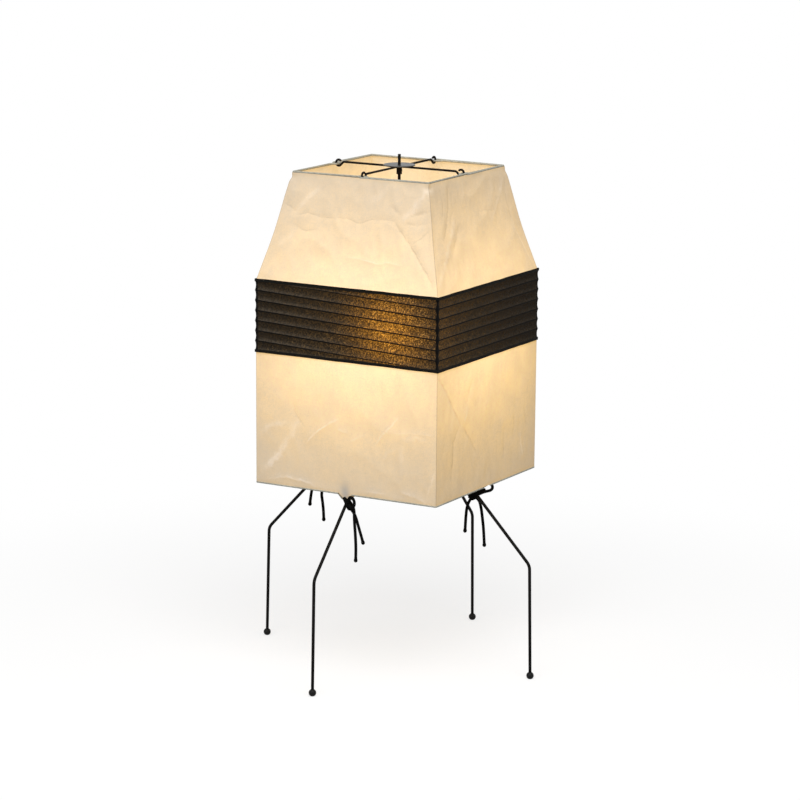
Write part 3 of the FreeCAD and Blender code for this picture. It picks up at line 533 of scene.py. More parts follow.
# %% Points and numbers
def points_of(mesh):
    flat = np.empty(len(mesh.vertices) * 3, np.float32)
    mesh.vertices.foreach_get("co", flat)
    return flat.reshape(-1, 3).astype(float)


def move_points(mesh, points):
    mesh.vertices.foreach_set("co", points.astype(np.float32).ravel())
    mesh.update()


def store(mesh, name, values):
    """Keeps one number per vertex for the material to read."""
    mesh.attributes.new(name, "FLOAT", "POINT").data.foreach_set("value", values.astype(np.float32))


print("points are moved as arrays")

# %% [markdown]
# ## Pressing the creases
# A crease lifts or presses the paper to a sharp edge that falls off on both sides and runs out towards
# its ends. A bump in the material could not tell how the paper leans towards the bulb, so points are
# moved. For the material each point also keeps how many crease widths it is away from the nearest
# crease, and that crease's tone. A signed distance stays exact between points, so creases are drawn
# finer than the mesh.

# %% Press the creases
CREASE_HEIGHT = {"upper": 0.0009, "lower": 0.0012}
CREASE_REACH = 0.0034
# What is left of a crease at its ends.
CREASE_END = 0.2
# Tones fade out this far from a crease, to end before the next one; broad ones reach further.
TONE_REACH = 0.004
BROAD_REACH = 1.2
TONE_FADE = 1.5
# A distance, in crease widths, at which no crease shows.
FAR_FROM_CREASE = 9.0


def press_creases(part, side, across, up, height, half_low, half_high):
    """The lift by all creases of a side, the distance to the nearest one in its widths, and its tone."""
    lift = np.zeros_like(across)
    crease_at = np.full_like(across, FAR_FROM_CREASE)
    tone_at = np.zeros_like(across)
    for tone, width, line in lines_of(part, side):
        chain = [(a * (half_low + (half_high - half_low) * u), u * height) for a, u in line]
        apart, place = beside_line(across, up, np.array(chain))
        taper = np.sqrt(np.clip(4.0 * place * (1.0 - place), 0.0, 1.0))
        taper = taper * (1.0 - CREASE_END) + CREASE_END
        lift += tone * CREASE_HEIGHT[part] * taper * np.exp(-np.abs(apart) / CREASE_REACH)
        wide = width * MILLIMETRE
        fade = np.clip(TONE_FADE - np.abs(apart) / max(TONE_REACH, BROAD_REACH * wide), 0.0, 1.0)
        nearer = np.abs(apart / wide) < np.abs(crease_at)
        crease_at[nearer] = (apart / wide)[nearer]
        tone_at[nearer] = (tone * taper * fade)[nearer]
    return lift, crease_at, tone_at


print("creases reach", CREASE_REACH, "m to each side")

# %% [markdown]
# ## Crumpling
# Between the creases lie soft crumples, which are noise folded at zero, so that it has ridges. Every
# point is moved along the way its side faces. The moves fade out at the rims and at the corners, where
# wire and fold hold the paper. Each point also keeps how much its patch leans towards the bulb, and how
# far it is from the rim and from the nearest corner.

# %% Crumple the paper
CRUMPLE_HEIGHT = {"upper": 0.00065, "lower": 0.00045}
CRUMPLE_SIZE = {"upper": 0.034, "lower": 0.045}
FINE_HEIGHT = 0.00034
FINE_SIZE = 0.011
# The fine crumples run up and down: less than 1 draws them out.
FINE_LENGTH = 0.45
NOISE_PLACE = {"upper": (7.0, 3.0, 1.0), "lower": (2.0, 9.0, 5.0)}
BOW = 0.0008
HELD_AT_RIM = 0.010
HELD_AT_CORNER = 0.008
BULB_MIDDLE = np.array([0.0, 0.0, 0.3475])


def ridged(point, size, offset):
    """Noise folded at zero, so that it has sharp ridges."""
    return 0.5 - 2.0 * abs(noise.noise(Vector(point) / size + offset))


def crumple(shell, part, low, high, half_low, half_high):
    mesh = shell.data
    points = points_of(mesh)
    height = high - low
    up = points[:, 2] - low
    half = half_low + (half_high - half_low) * up / height
    lean = math.atan2(half_low - half_high, height)
    offset = Vector(NOISE_PLACE[part])
    long_points = points * (1.0, 1.0, FINE_LENGTH)
    rough = CRUMPLE_HEIGHT[part] * np.array([ridged(p, CRUMPLE_SIZE[part], offset) for p in points])
    rough += FINE_HEIGHT * np.array([ridged(p, FINE_SIZE, offset) for p in long_points])
    moved = points.copy()
    crease_at = np.full(len(points), FAR_FROM_CREASE)
    tone_at = np.zeros(len(points))
    facing = np.zeros((len(points), 3))
    for side in SIDES:
        turn = math.radians(SIDE_TURN[side])
        out = np.array([math.cos(turn), math.sin(turn)])
        run = np.array([-math.sin(turn), math.cos(turn)])
        across = points[:, :2] @ run
        mine = (points[:, :2] @ out) > np.abs(across) - LEVEL
        lift, side_at, side_tone = press_creases(part, side, across, up, height, half_low, half_high)
        lift += rough - BOW * (1 - (across / half) ** 2) * 4 * (up / height) * (1 - up / height)
        nearer = mine & (np.abs(side_at) < np.abs(crease_at))
        crease_at[nearer] = side_at[nearer]
        tone_at[nearer] = side_tone[nearer]
        held = np.clip(np.minimum(up, height - up) / HELD_AT_RIM, 0.0, 1.0)
        held = held * np.clip((half - np.abs(across)) / HELD_AT_CORNER, 0.0, 1.0)
        lift = lift * held * (2.0 - held)
        moved[mine, :2] += (lift[:, None] * out)[mine]
        facing[mine] = (*(out * math.cos(lean)), math.sin(lean))
    move_points(mesh, moved)
    normals = np.empty(len(points) * 3, np.float32)
    mesh.vertex_normals.foreach_get("vector", normals)
    away = moved - BULB_MIDDLE
    away /= np.linalg.norm(away, axis=1, keepdims=True)
    from_corner = half - np.abs(points[:, :2]).min(axis=1)
    free = from_corner > HELD_AT_CORNER / 2
    lean_to_bulb = ((normals.reshape(-1, 3) - facing) * away).sum(axis=1) * free
    store(mesh, "tilt", lean_to_bulb)
    store(mesh, "crease_at", crease_at)
    store(mesh, "crease_tone", tone_at)
    store(mesh, "from_rim", height - up if part == "upper" else up)
    store(mesh, "from_corner", from_corner)
    furthest = np.abs(moved - points).max() / MILLIMETRE
    print(f"{shell.name}: {len(points)} points, moved up to {furthest:.2f} mm")


print("crumples of", FINE_SIZE, "m and more")

# %% [markdown]
# ## Tabs and corners
# At the front and back ties the lower edge is pulled down to a small tab, with a painted shadow where
# the dipped rim stops the bulb's light. The taut upper paper is drawn in at its corners and pinched
# under the rim. It could be sculpted by hand, but a script has to give the same every time, so the
# points move by soft bell-shaped falls round a few chosen places.

# %% Tabs and corners
# A tab's drop, half its flat part, its ends on both sides, its height, and how far it is pulled in.
TAB_DROP = 0.0060
TAB_FLAT = 0.0015
TAB_END = (0.0070, 0.0130)
TAB_HEIGHT = 0.012
TAB_IN = 0.0008
# The front and the back lie further out along Y than this.
FRONT_FROM = 0.095
# Painted shadow of the rim's dip on the tab: its height above the edge, and its width and height.
KINK_SHADOW_AT = 0.004
KINK_SHADOW_SIZE = (0.0050, 0.0065)
# The tension draws each corner in: how deep, how far below the rim, how tall and how wide.
DRAWN_IN = (0.0014, 0.0600, 0.0340, 0.0120)
# The same for the pinch under the rim, by the corner's side in X and Y.
PINCHES = {(-1, -1): (0.0010, 0.0045, 0.0030, 0.0050), (1, -1): (0.0013, 0.0055, 0.0030, 0.0050),
           (1, 1): (0.0006, 0.0045, 0.0030, 0.0050), (-1, 1): (0.0010, 0.0045, 0.0030, 0.0050)}


def pull_tabs(shell, low):
    """Draws the lower edge of front and back down over the dip of the rim and keeps its painted shadow."""
    points = points_of(shell.data)
    above = points[:, 2] - low
    faces_out = np.abs(points[:, 1]) > FRONT_FROM
    wide, tall = KINK_SHADOW_SIZE
    kink_shadow = np.exp(-(points[:, 0] / wide) ** 2 - ((above - KINK_SHADOW_AT) / tall) ** 2)
    store(shell.data, "kink_shadow", kink_shadow * faces_out)
    end = np.where(points[:, 0] * points[:, 1] > 0, *TAB_END)
    near = np.clip((end - np.abs(points[:, 0])) / (end - TAB_FLAT), 0.0, 1.0)
    near = near * np.clip(1.0 - above / TAB_HEIGHT, 0.0, 1.0) * faces_out
    points[:, 2] -= TAB_DROP * near
    points[:, 1] -= TAB_IN * near * np.sign(points[:, 1])
    move_points(shell.data, points)


def pinch_corners(shell, high):
    """Draws the corners in, by the paper's tension and where it is folded over the rim."""
    points = points_of(shell.data)
    from_corner = np.abs(np.abs(points[:, 0]) - np.abs(points[:, 1]))
    below = high - points[:, 2]
    drawn = np.zeros_like(points)
    for (x_side, y_side), pinch in PINCHES.items():
        here = (points[:, 0] * x_side > 0) * (points[:, 1] * y_side > 0)
        for depth, middle, tall, wide in (DRAWN_IN, pinch):
            near = here * depth * np.exp(-(from_corner / wide) ** 2 - ((below - middle) / tall) ** 2)
            drawn[:, :2] += near[:, None] * np.array((x_side, y_side))
    points -= drawn
    move_points(shell.data, points)


print("tabs of", TAB_DROP, "m and", len(PINCHES), "pinched corners")

# %% [markdown]
# ## White paper
# The upper paper narrows to the top rim and the lower one hangs down to the bottom rim. The CAD model
# holds them as eight flat panels. On the lamp each is one sheet that turns the corners, so each becomes
# one shell that stands for its four panels.

# %% White paper shells
PAPER_CELLS = 88
RIM_SHOWS = {"upper": 0.0014, "lower": 0.0008}
PAPER_OFF_RIM = 0.0006
PAPER_SLACK = 0.0008
paper_shells = {}
for part in ("upper", "lower"):
    boxes = [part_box(f"{part}_panel_{side}") for side in SIDES]
    low = min(box[0].z for box in boxes)
    high = max(box[1].z for box in boxes)
    low_half = high_half = max(box[1].x for box in boxes)
    if part == "upper":
        high -= RIM_SHOWS[part]
        high_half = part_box("top_rim")[1].x + PAPER_OFF_RIM
    else:
        low += RIM_SHOWS[part]
        low_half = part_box("bottom_rim")[1].x + PAPER_OFF_RIM + PAPER_SLACK
    shell = square_shell(f"paper_{part}", low, high, low_half, high_half, PAPER_CELLS, PAPER_CELLS)
    crumple(shell, part, low, high, low_half, high_half)
    if part == "lower":
        pull_tabs(shell, low)
    else:
        pinch_corners(shell, high)
    paper_shells[part] = shell
    print(f"{shell.name}: z {low:.4f} to {high:.4f}, half width {low_half:.4f} to {high_half:.4f}")

# %% [markdown]
# ## The hem
# The edges are rolled round the rims in four strips each. Above, the strips lap at the middle of each
# side, so the hem makes a small step there. It could be a bevel on the paper's edge, but the step needs
# four pieces: each strip starts low at the middle of one side, turns the corner and ends high at the
# middle of the next. Below they are thinner and leave the ties free.

# %% Hem strips
HEM_ROUND = 0.002
HEM_RELIEF = 0.03
# Radius, distance from the middle, level, step, free length at each end, and body.
HEMS = {"top": (0.00105, 0.0771, 0.50685, 0.0006, -0.001, "spreader"),
        "bottom": (0.00085, 0.1036, 0.19280, 0.0, 0.0075, "stand")}
hem_strips = []
for hem, (thick, half, level_at, step, free, body) in HEMS.items():
    bend = half - HEM_ROUND
    points = ((half, free, -1.0), (half, half / 2, -0.5), (half, bend, 0.0), (half, half, 0.0),
              (bend, half, 0.0), (half / 2, half, 0.5), (free, half, 1.0))
    for side in SIDES:
        route = [on_side(side, out, along, level_at + step * rise) for out, along, rise in points]
        strip = braided_tube(f"hem_{hem}_{side}", smooth_line(route), radius=thick, depth=HEM_RELIEF)
        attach(strip, body)
        hem_strips.append(strip)
print(f"{len(hem_strips)} hem strips")

# %% [markdown]
# ## The pleated band
# One long rib of wire runs round the band as a spiral: level on three sides, one pleat lower each time
# it has crossed the front. The black paper hangs between its turns in shallow scallops. A noise or wave
# texture would leave the outline straight, so a flat grid is wrapped round the lamp, row by row: each
# column is divided at the rib's turns, and the paper between two turns sags inwards by a parabola. On
# the front the turns slant, so the grid's rows slant with them, and merging the points that fall
# together closes the seam.

# %% Band shell
BAND_PLEATS = 7
BAND_SAG = 0.0018
CORNER_SAG = 0.4
BAND_PROUD = 0.0008
PLEAT_ROWS = 14
SIDE_COLUMNS = 60
PAPER_BLACK = 0.0004
# How unevenly the pleats sag, and over which share of a side a corner holds them.
BAND_UNEVEN = 0.25
CORNER_SHARE = 1 / 16
# How fast the sag changes along a side, from side to side and from pleat to pleat.
UNEVEN_SCALE = (2.1, 5.0, 0.7)
band_boxes = [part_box(f"band_panel_{side}") for side in SIDES]
band_low = min(box[0].z for box in band_boxes)
band_high = max(box[1].z for box in band_boxes)
band_half = max(box[1].x for box in band_boxes) + BAND_PROUD
pleat_height = (band_high - band_low) / BAND_PLEATS
bpy.ops.object.select_all(action="DESELECT")
bpy.ops.mesh.primitive_grid_add(x_subdivisions=4 * SIDE_COLUMNS,
                                y_subdivisions=(BAND_PLEATS + 1) * PLEAT_ROWS, size=2.0)
band = bpy.context.object
band.name = "paper_band"
grid = points_of(band.data)
around = (grid[:, 0] + 1.0) / 2.0 * 4.0
strip = (grid[:, 1] + 1.0) / 2.0 * (BAND_PLEATS + 1)
side_index = np.clip(np.floor(around + LEVEL), 0, 3).astype(int)
side_place = around - side_index
# The rib's turns counted from the bottom: on the front they fall by one pleat from left to right.
slant = np.where(side_index == 0, side_place, 1.0)
pleat = np.clip(np.floor(strip + LEVEL), 0, BAND_PLEATS).astype(int)
inside_pleat = np.clip(strip - pleat, 0.0, 1.0)
pleat_low = np.clip(pleat - slant, 0.0, BAND_PLEATS)
pleat_high = np.clip(pleat + 1 - slant, 0.0, BAND_PLEATS)
opened = pleat_high - pleat_low
level = band_low + pleat_height * (pleat_low + inside_pleat * opened)
spots = np.stack([side_place, side_index, pleat], axis=1) * UNEVEN_SCALE
uneven = np.array([noise.noise(Vector(spot)) for spot in spots])
from_end = np.minimum(side_place, 1.0 - side_place)
corner_hold = np.clip(from_end / CORNER_SHARE, 0.0, 1.0)
sag = BAND_SAG * opened * 4.0 * inside_pleat * (1.0 - inside_pleat)
sag *= CORNER_SAG + (1.0 - CORNER_SAG + BAND_UNEVEN * uneven) * corner_hold
one = np.ones_like(around)
run = 2 * side_place - 1
x_share = np.choose(side_index, [run, one, -run, -one])
y_share = np.choose(side_index, [-one, run, one, -run])
reach = band_half - sag
move_points(band.data, np.stack([x_share * reach, y_share * reach, level], axis=1))
print(f"band: {BAND_PLEATS} pleats of {pleat_height / MILLIMETRE:.2f} mm on {len(grid)} points")

# %% [markdown]
# The material needs to know where the rib presses on the paper and where it is in the sheet. So each
# vertex keeps its nearness to a rib, its height in the pleat and its distance from the corner, and the
# UV map is laid out in metres, round and up, before the seam is merged.

# %% Band numbers and seam
SAME_POINT = 0.00001
# The rib shows in full where its pleat is open by more than one part in this many.
RIB_SHOWS = 3.0
SMOOTH_ANGLE = math.radians(40.0)


def merge_points(piece, distance):
    """Merges all points of a piece that lie closer than this."""
    pick_only(piece)
    bpy.ops.object.mode_set(mode="EDIT")
    bpy.ops.mesh.select_all(action="SELECT")
    bpy.ops.mesh.remove_doubles(threshold=distance)
    bpy.ops.object.mode_set(mode="OBJECT")


def give_thickness(shell, thickness, inside_material):
    """Thickens a shell inwards; its inner faces take the next material if they are to have their own."""
    pick_only(shell)
    bpy.ops.object.modifier_add(type="SOLIDIFY")
    wall = shell.modifiers[-1]
    wall.thickness = thickness
    wall.offset = -1.0
    wall.material_offset = 1 if inside_material else 0
    bpy.ops.object.modifier_apply(modifier=wall.name)
    bpy.ops.object.shade_smooth_by_angle(angle=SMOOTH_ANGLE)


store(band.data, "rib", np.abs(2.0 * inside_pleat - 1.0) * np.clip(opened * RIB_SHOWS, 0.0, 1.0))
store(band.data, "rise", inside_pleat)
store(band.data, "from_corner", from_end * 2 * band_half)
corner_of = np.empty(len(band.data.loops), np.int32)
band.data.loops.foreach_get("vertex_index", corner_of)
flat_place = np.stack([around * 2 * band_half, level], axis=1)[corner_of]
band.data.uv_layers.active.data.foreach_set("uv", flat_place.astype(np.float32).ravel())
merge_points(band, SAME_POINT)
give_thickness(band, PAPER_BLACK, inside_material=False)
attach(band, "stand")
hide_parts(*[f"band_panel_{side}" for side in SIDES])
print(f"band: {len(band.data.polygons)} faces after the merge")

# %% [markdown]
# ## Edge bindings
# A narrow strip of black paper is folded over the wire at each edge of the band and covers the joint
# with the white paper. It could be drawn in the material, but its edge stands a little proud, so it is
# a thin square ring: a shell with a few columns, nudged up and down by a hair as a hand-glued strip is,
# thickened and bevelled.

# %% Bindings
BINDING_HEIGHT = 0.0030
BINDING_PROUD = 0.0003
BINDING_THICKNESS = 0.0011
BINDING_WAVER = 0.0003
WAVER_SCALE = 60.0
BINDING_COLUMNS = 40
BINDING_ROWS = 3
BINDING_BEVEL = 0.0003
half = band_half + BINDING_PROUD
bindings = []
for edge, level_at in (("top", band_high), ("bottom", band_low)):
    low = level_at - BINDING_HEIGHT / 2
    high = level_at + BINDING_HEIGHT / 2
    ring = square_shell(f"binding_{edge}", low, high, half, half, BINDING_COLUMNS, BINDING_ROWS)
    ring_points = points_of(ring.data)
    ring_points[:, 2] += [BINDING_WAVER * noise.noise(Vector(point) * WAVER_SCALE) for point in ring_points]
    move_points(ring.data, ring_points)
    give_thickness(ring, BINDING_THICKNESS, inside_material=False)
    bpy.ops.object.modifier_add(type="BEVEL")
    ring.modifiers[-1].width = BINDING_BEVEL
    ring.modifiers[-1].segments = 2
    bpy.ops.object.modifier_apply(modifier=ring.modifiers[-1].name)
    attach(ring, "stand")
    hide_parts(f"band_{edge}_wire")
    bindings.append(ring)
    print(f"{ring.name}: {len(ring.data.polygons)} faces")

# %% [markdown]
# ## Dipped wire
# The legs and the arms of the spreader are steel wire dipped in thick black paint, which rounds and
# thickens it a little. The wire could be swept again along its route, but the CAD model already has it.
# So a copy is taken, its loose triangles are merged, and a Displace modifier moves the whole skin
# outwards by the depth of the coat.

# %% Coat the wire
COATS = {"leg": (0.00020, "stand"), "hook_arm": (0.00022, "spreader")}


def coated(node, depth, body):
    """A copy of a CAD wire under a coat of paint."""
    piece = bpy.data.objects.new(f"painted_{node}", frame["nodes"][node].data.copy())
    bpy.context.scene.collection.objects.link(piece)
    piece.data.materials.clear()
    merge_points(piece, SAME_POINT)
    bpy.ops.object.modifier_add(type="DISPLACE")
    skin = piece.modifiers[-1]
    skin.mid_level = 0.0
    skin.strength = depth
    bpy.ops.object.modifier_apply(modifier=skin.name)
    bpy.ops.object.shade_smooth_by_angle(angle=SMOOTH_ANGLE)
    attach(piece, body)
    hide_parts(node)
    return piece


painted_wires = []
for kind, (depth, body) in COATS.items():
    painted_wires += [coated(f"{kind}_{side}", depth, body) for side in SIDES]
print(f"{len(painted_wires)} wires painted")

# %% [markdown]
# ## Small helpers for node trees
# A finish is a tree of nodes. Typed out, each node takes three or four lines, which hides what it is
# for. These helpers take a number or another node's output for every input, so that a finish reads like
# a sum.

# %% Node helpers
def plug(tree, socket, value):
    if isinstance(value, bpy.types.NodeSocket):
        tree.links.new(value, socket)
    else:
        socket.default_value = value


def add_node(tree, kind, sockets, **settings):
    """A new node with these settings and inputs; gives back its outputs."""
    node = tree.nodes.new(f"ShaderNode{kind}")
    for name, value in settings.items():
        setattr(node, name, value)
    for socket, value in sockets.items():
        plug(tree, node.inputs[socket], value)
    return node.outputs


def maths(tree, operation, *values):
    return add_node(tree, "Math", dict(enumerate(values)), operation=operation)[0]


def times(tree, first, *others):
    for other in others:
        first = maths(tree, "MULTIPLY", first, other)
    return first


def length_of(tree, vector):
    return add_node(tree, "VectorMath", {0: vector}, operation="LENGTH")["Value"]


def joined(tree, *values):
    return add_node(tree, "CombineXYZ", dict(enumerate(values)))[0]


def parted(tree, vector):
    return add_node(tree, "SeparateXYZ", {0: vector})


def new_group(name, outputs):
    """An empty node group that takes a place and gives out the named values."""
    group = bpy.data.node_groups.new(name, "ShaderNodeTree")
    group.interface.new_socket("Vector", in_out="INPUT", socket_type="NodeSocketVector")
    for output in outputs:
        group.interface.new_socket(output, in_out="OUTPUT", socket_type="NodeSocketFloat")
    place = group.nodes.new("NodeGroupInput").outputs[0]
    return group, place, group.nodes.new("NodeGroupOutput").inputs


print("nodes can be added in one line")

# %% [markdown]
# ## Light from the bulb
# The paper glows most near the bulb, behind the band, and fades towards the rims. Real light through
# real paper would be right, but it is noisy and is lost on export. So the glow is worked out from the
# distance to the bulb, and any material can use it: a wide part that warms the whole shade, a tight
# pale part beside the band, and a spot on the band itself. Seen through paper the bulb seems to stand
# nearer to the eye, so the distances are measured from places moved towards the corner between front
# and right, and turned half round for the other two sides.

# %% Glow group
# How far the bulb seems to be moved, and the distance from it at which both parts are 1.
GLOW_SHIFT = 0.014
GLOW_NEAR = 0.088
# How far each part reaches, how much the shorter way to the side counts, and the most light.
GLOW_WIDE = 0.102
GLOW_TIGHT = 0.019
GLOW_SQUEEZE = 0.6
GLOW_MOST = 1.1
SPOT_PLACE = (0.050, -0.104, 0.363)
SPOT_SIZE = 0.034
SPOT_AROUND = 0.085
tree, place, given = new_group("bulb_glow", ["Wide", "Tight", "Spot", "Around"])
x_place, y_place, z_place = parted(tree, place)
faces_corner = maths(tree, "GREATER_THAN", x_place, y_place)
half_turn = maths(tree, "MULTIPLY_ADD", faces_corner, 2.0, -1.0)
x_turned = times(tree, x_place, half_turn)
y_turned = times(tree, y_place, half_turn)
x_apart = maths(tree, "ABSOLUTE", maths(tree, "SUBTRACT", x_turned, GLOW_SHIFT))
y_apart = maths(tree, "ABSOLUTE", maths(tree, "ADD", y_turned, GLOW_SHIFT))
apart = joined(tree, maths(tree, "MAXIMUM", x_apart, y_apart),
               times(tree, maths(tree, "MINIMUM", x_apart, y_apart), GLOW_SQUEEZE),
               maths(tree, "SUBTRACT", z_place, float(BULB_MIDDLE[2])))
nearer = maths(tree, "SUBTRACT", GLOW_NEAR, length_of(tree, apart))
for output, reach in (("Wide", GLOW_WIDE), ("Tight", GLOW_TIGHT)):
    faded = maths(tree, "EXPONENT", maths(tree, "DIVIDE", nearer, reach))
    plug(tree, given[output], maths(tree, "MINIMUM", faded, GLOW_MOST))
from_spot = length_of(tree, joined(tree, *[
    maths(tree, "SUBTRACT", value, middle)
    for value, middle in zip((x_turned, y_turned, z_place), SPOT_PLACE)]))
squared = maths(tree, "POWER", maths(tree, "DIVIDE", from_spot, SPOT_SIZE), 2.0)
plug(tree, given["Spot"], maths(tree, "EXPONENT", times(tree, squared, -1.0)))
faded = maths(tree, "DIVIDE", from_spot, -SPOT_AROUND)
plug(tree, given["Around"], maths(tree, "EXPONENT", faded))
glow_group = tree
print("glow group made")

# %% [markdown]
# ## Handmade paper
# Against the light, handmade paper is cloudy, because the pulp settled unevenly, and full of long
# fibres. Two noises give the clouds, and two stretched and twisted ones the fibres. Three more make the
# grain and let the creases stray and fade. The group is shared by the white paper, its inside and the
# wrapped rims, each with its own strength.

# %% Paper group
# Clouds: how many to a metre, the noise's detail, and each one's share.
CLOUDS = ((45.0, 4.0, 0.6), (260.0, 3.0, 0.4))
# Fibres: how many to a metre along X, Y and Z.
FIBRES = ((150.0, 150.0, 900.0), (1000.0, 1000.0, 120.0))
FIBRE_DETAIL = 3.0
FIBRE_TWIST = 1.2
FIBRE_SHOWS = (0.58, 0.74)
# The others: how many to a metre, and the noise's detail.
FINE_PATTERNS = {"Grain": (1100.0, 3.0), "Stray": (190.0, 3.0), "Patchy": (110.0, 2.0)}


def spread(tree, value, low, high, new_low, new_high, smooth=False):
    """A value between low and high spread over the range from new_low to new_high."""
    sockets = dict(enumerate((value, low, high, new_low, new_high)))
    return add_node(tree, "MapRange", sockets, interpolation_type="SMOOTHSTEP" if smooth else "LINEAR")[0]


def noise_at(tree, vector, scale, detail=2.0, distortion=0.0):
    sockets = {"Vector": vector, "Scale": scale, "Detail": detail, "Distortion": distortion}
    return add_node(tree, "TexNoise", sockets)[0]


def stretched(tree, vector, scale):
    return add_node(tree, "Mapping", {"Vector": vector, "Scale": scale})[0]


tree, place, given = new_group("handmade_paper", ["Cloud", "Fibre", *FINE_PATTERNS])
clouds = [times(tree, noise_at(tree, place, scale, detail), share) for scale, detail, share in CLOUDS]
plug(tree, given["Cloud"], maths(tree, "ADD", *clouds))
fibres = []
for stretch in FIBRES:
    strands = noise_at(tree, stretched(tree, place, stretch), 1.0, FIBRE_DETAIL, FIBRE_TWIST)
    fibres.append(spread(tree, strands, *FIBRE_SHOWS, 0.0, 1.0, smooth=True))
plug(tree, given["Fibre"], maths(tree, "MAXIMUM", *fibres))
for output, (scale, detail) in FINE_PATTERNS.items():
    plug(tree, given[output], noise_at(tree, place, scale, detail))
paper_group = tree
print("paper group made")

# %% [markdown]
# ## Small helpers for finishes
# A material starts with its shader and with the place on the piece, in object coordinates, that its
# patterns follow. Groups are put in as single nodes, and the numbers kept on a mesh come back by their
# names.

# %% Finish helpers
def new_finish(name, **plain):
    """A material, its tree, its shader's inputs and the place on the piece that patterns follow.

    Plain values have the names of the shader's inputs, in small letters.
    """
    material = bpy.data.materials.new(name)
    material.use_nodes = True
    tree = material.node_tree
    shader = tree.nodes["Principled BSDF"]
    for socket, value in plain.items():
        shader.inputs[socket.replace("_", " ").title().replace("Ior", "IOR")].default_value = value
    return material, tree, shader.inputs, add_node(tree, "TexCoord", {})["Object"]


def grouped(tree, group, vector):
    return add_node(tree, "Group", {"Vector": vector}, node_tree=group)


def number_kept(tree, name):
    return add_node(tree, "Attribute", {}, attribute_name=name)["Fac"]


def scaled(tree, colour, factor):
    return add_node(tree, "VectorMath", {0: colour, "Scale": factor}, operation="SCALE")[0]


def blend_colours(tree, factor, first, second, blend_type="MIX"):
    # The node has inputs for every kind of value; its colours are inputs 6 and 7 and output 2.
    sockets = {0: factor, 6: first, 7: second}
    return add_node(tree, "Mix", sockets, data_type="RGBA", blend_type=blend_type, clamp_factor=False)[2]


def bump(tree, height, strength, distance):
    return add_node(tree, "Bump", {"Strength": strength, "Distance": distance, "Height": height})[0]


print("finishes start from one helper")

# %% [markdown]
# ## White paper, lit from behind
# What is seen is two things added: room light thrown back by the white sheet, and bulb light coming
# through it. The first is the base colour, the second the emission colour: amber all over, and paler
# close to the band. Patches that lean towards the bulb pass more light, clouds and fibres less. Pale
# creases have lost fibre and get a painted highlight, dark ones a painted shade. The folded hem is
# warmer, and a thin line shows where the sheet is folded at a corner.

# %% White paper
PAPER_BASE = (0.430, 0.427, 0.418, 1.0)
PAPER_CREASE = (0.66, 0.65, 0.65, 1.0)
PAPER_WIDE = (0.806, 0.452, 0.050)
PAPER_TIGHT = (0.200, 0.193, 0.189)
INSIDE_WIDE = (1.11, 0.735, 0.305)
INSIDE_TIGHT = (0.14, 0.13, 0.10)
HEM_WIDTH = 0.0045
FOLD_LINE = 0.0009
# Nearly all of a noise lies between these.
NOISE_RANGE = (0.3, 0.7)
# How far a crease strays and how far out it ends, in its own widths.
CREASE_STRAY = 0.55
CREASE_EDGE = 1.25
# A patchy noise between the first two gives a crease the tones between the last two.
CREASE_PATCHES = (0.38, 0.62, 0.45, 1.15)
# How far a pale crease takes on its paler colour: worn fibre with a painted highlight.
CREASE_WEAR_AND_HIGHLIGHT = 0.8
# Where a cloud is thinnest and thickest, and the least and most light that clouds and grain pass.
CLOUD_RANGE = (0.35, 0.65)
LIGHT_PASSED = (0.90, 1.10)
# What each mark does to the light that comes through, and to the light thrown back.
# The kink shadow is a painted shadow where the dipped rim stops the bulb's light.
THROUGH = {"fibre": -0.06, "tilt": 0.9, "pale": -0.10, "dark": -0.16, "hem": 0.14, "kink_shadow": -0.70}
THROWN_BACK = {"fibre": -0.05, "dark": -0.22, "hem": -0.14, "fold": -0.25}
FOLD_OUTSIDE = -0.22
FOLD_INSIDE = 0.30


def crease_marks(tree, paper):
    """How far a place lies on a pale and on a dark crease, whose edges stray and whose tone is patchy."""
    strayed = maths(tree, "ADD", number_kept(tree, "crease_at"),
                    spread(tree, paper["Stray"], *NOISE_RANGE, -CREASE_STRAY, CREASE_STRAY))
    on_crease = spread(tree, maths(tree, "ABSOLUTE", strayed), 0.0, CREASE_EDGE, 1.0, 0.0, smooth=True)
    patchy = spread(tree, paper["Patchy"], *CREASE_PATCHES)
    crease = times(tree, on_crease, number_kept(tree, "crease_tone"), patchy)
    return maths(tree, "MAXIMUM", crease, 0.0), maths(tree, "MAXIMUM", times(tree, crease, -1.0), 0.0)


def marked(tree, value, marks, changes):
    """A value that changes by a named mark's share where that mark is 1."""
    for name, change in changes.items():
        value = times(tree, value, maths(tree, "MULTIPLY_ADD", marks[name], change, 1.0))
    return value


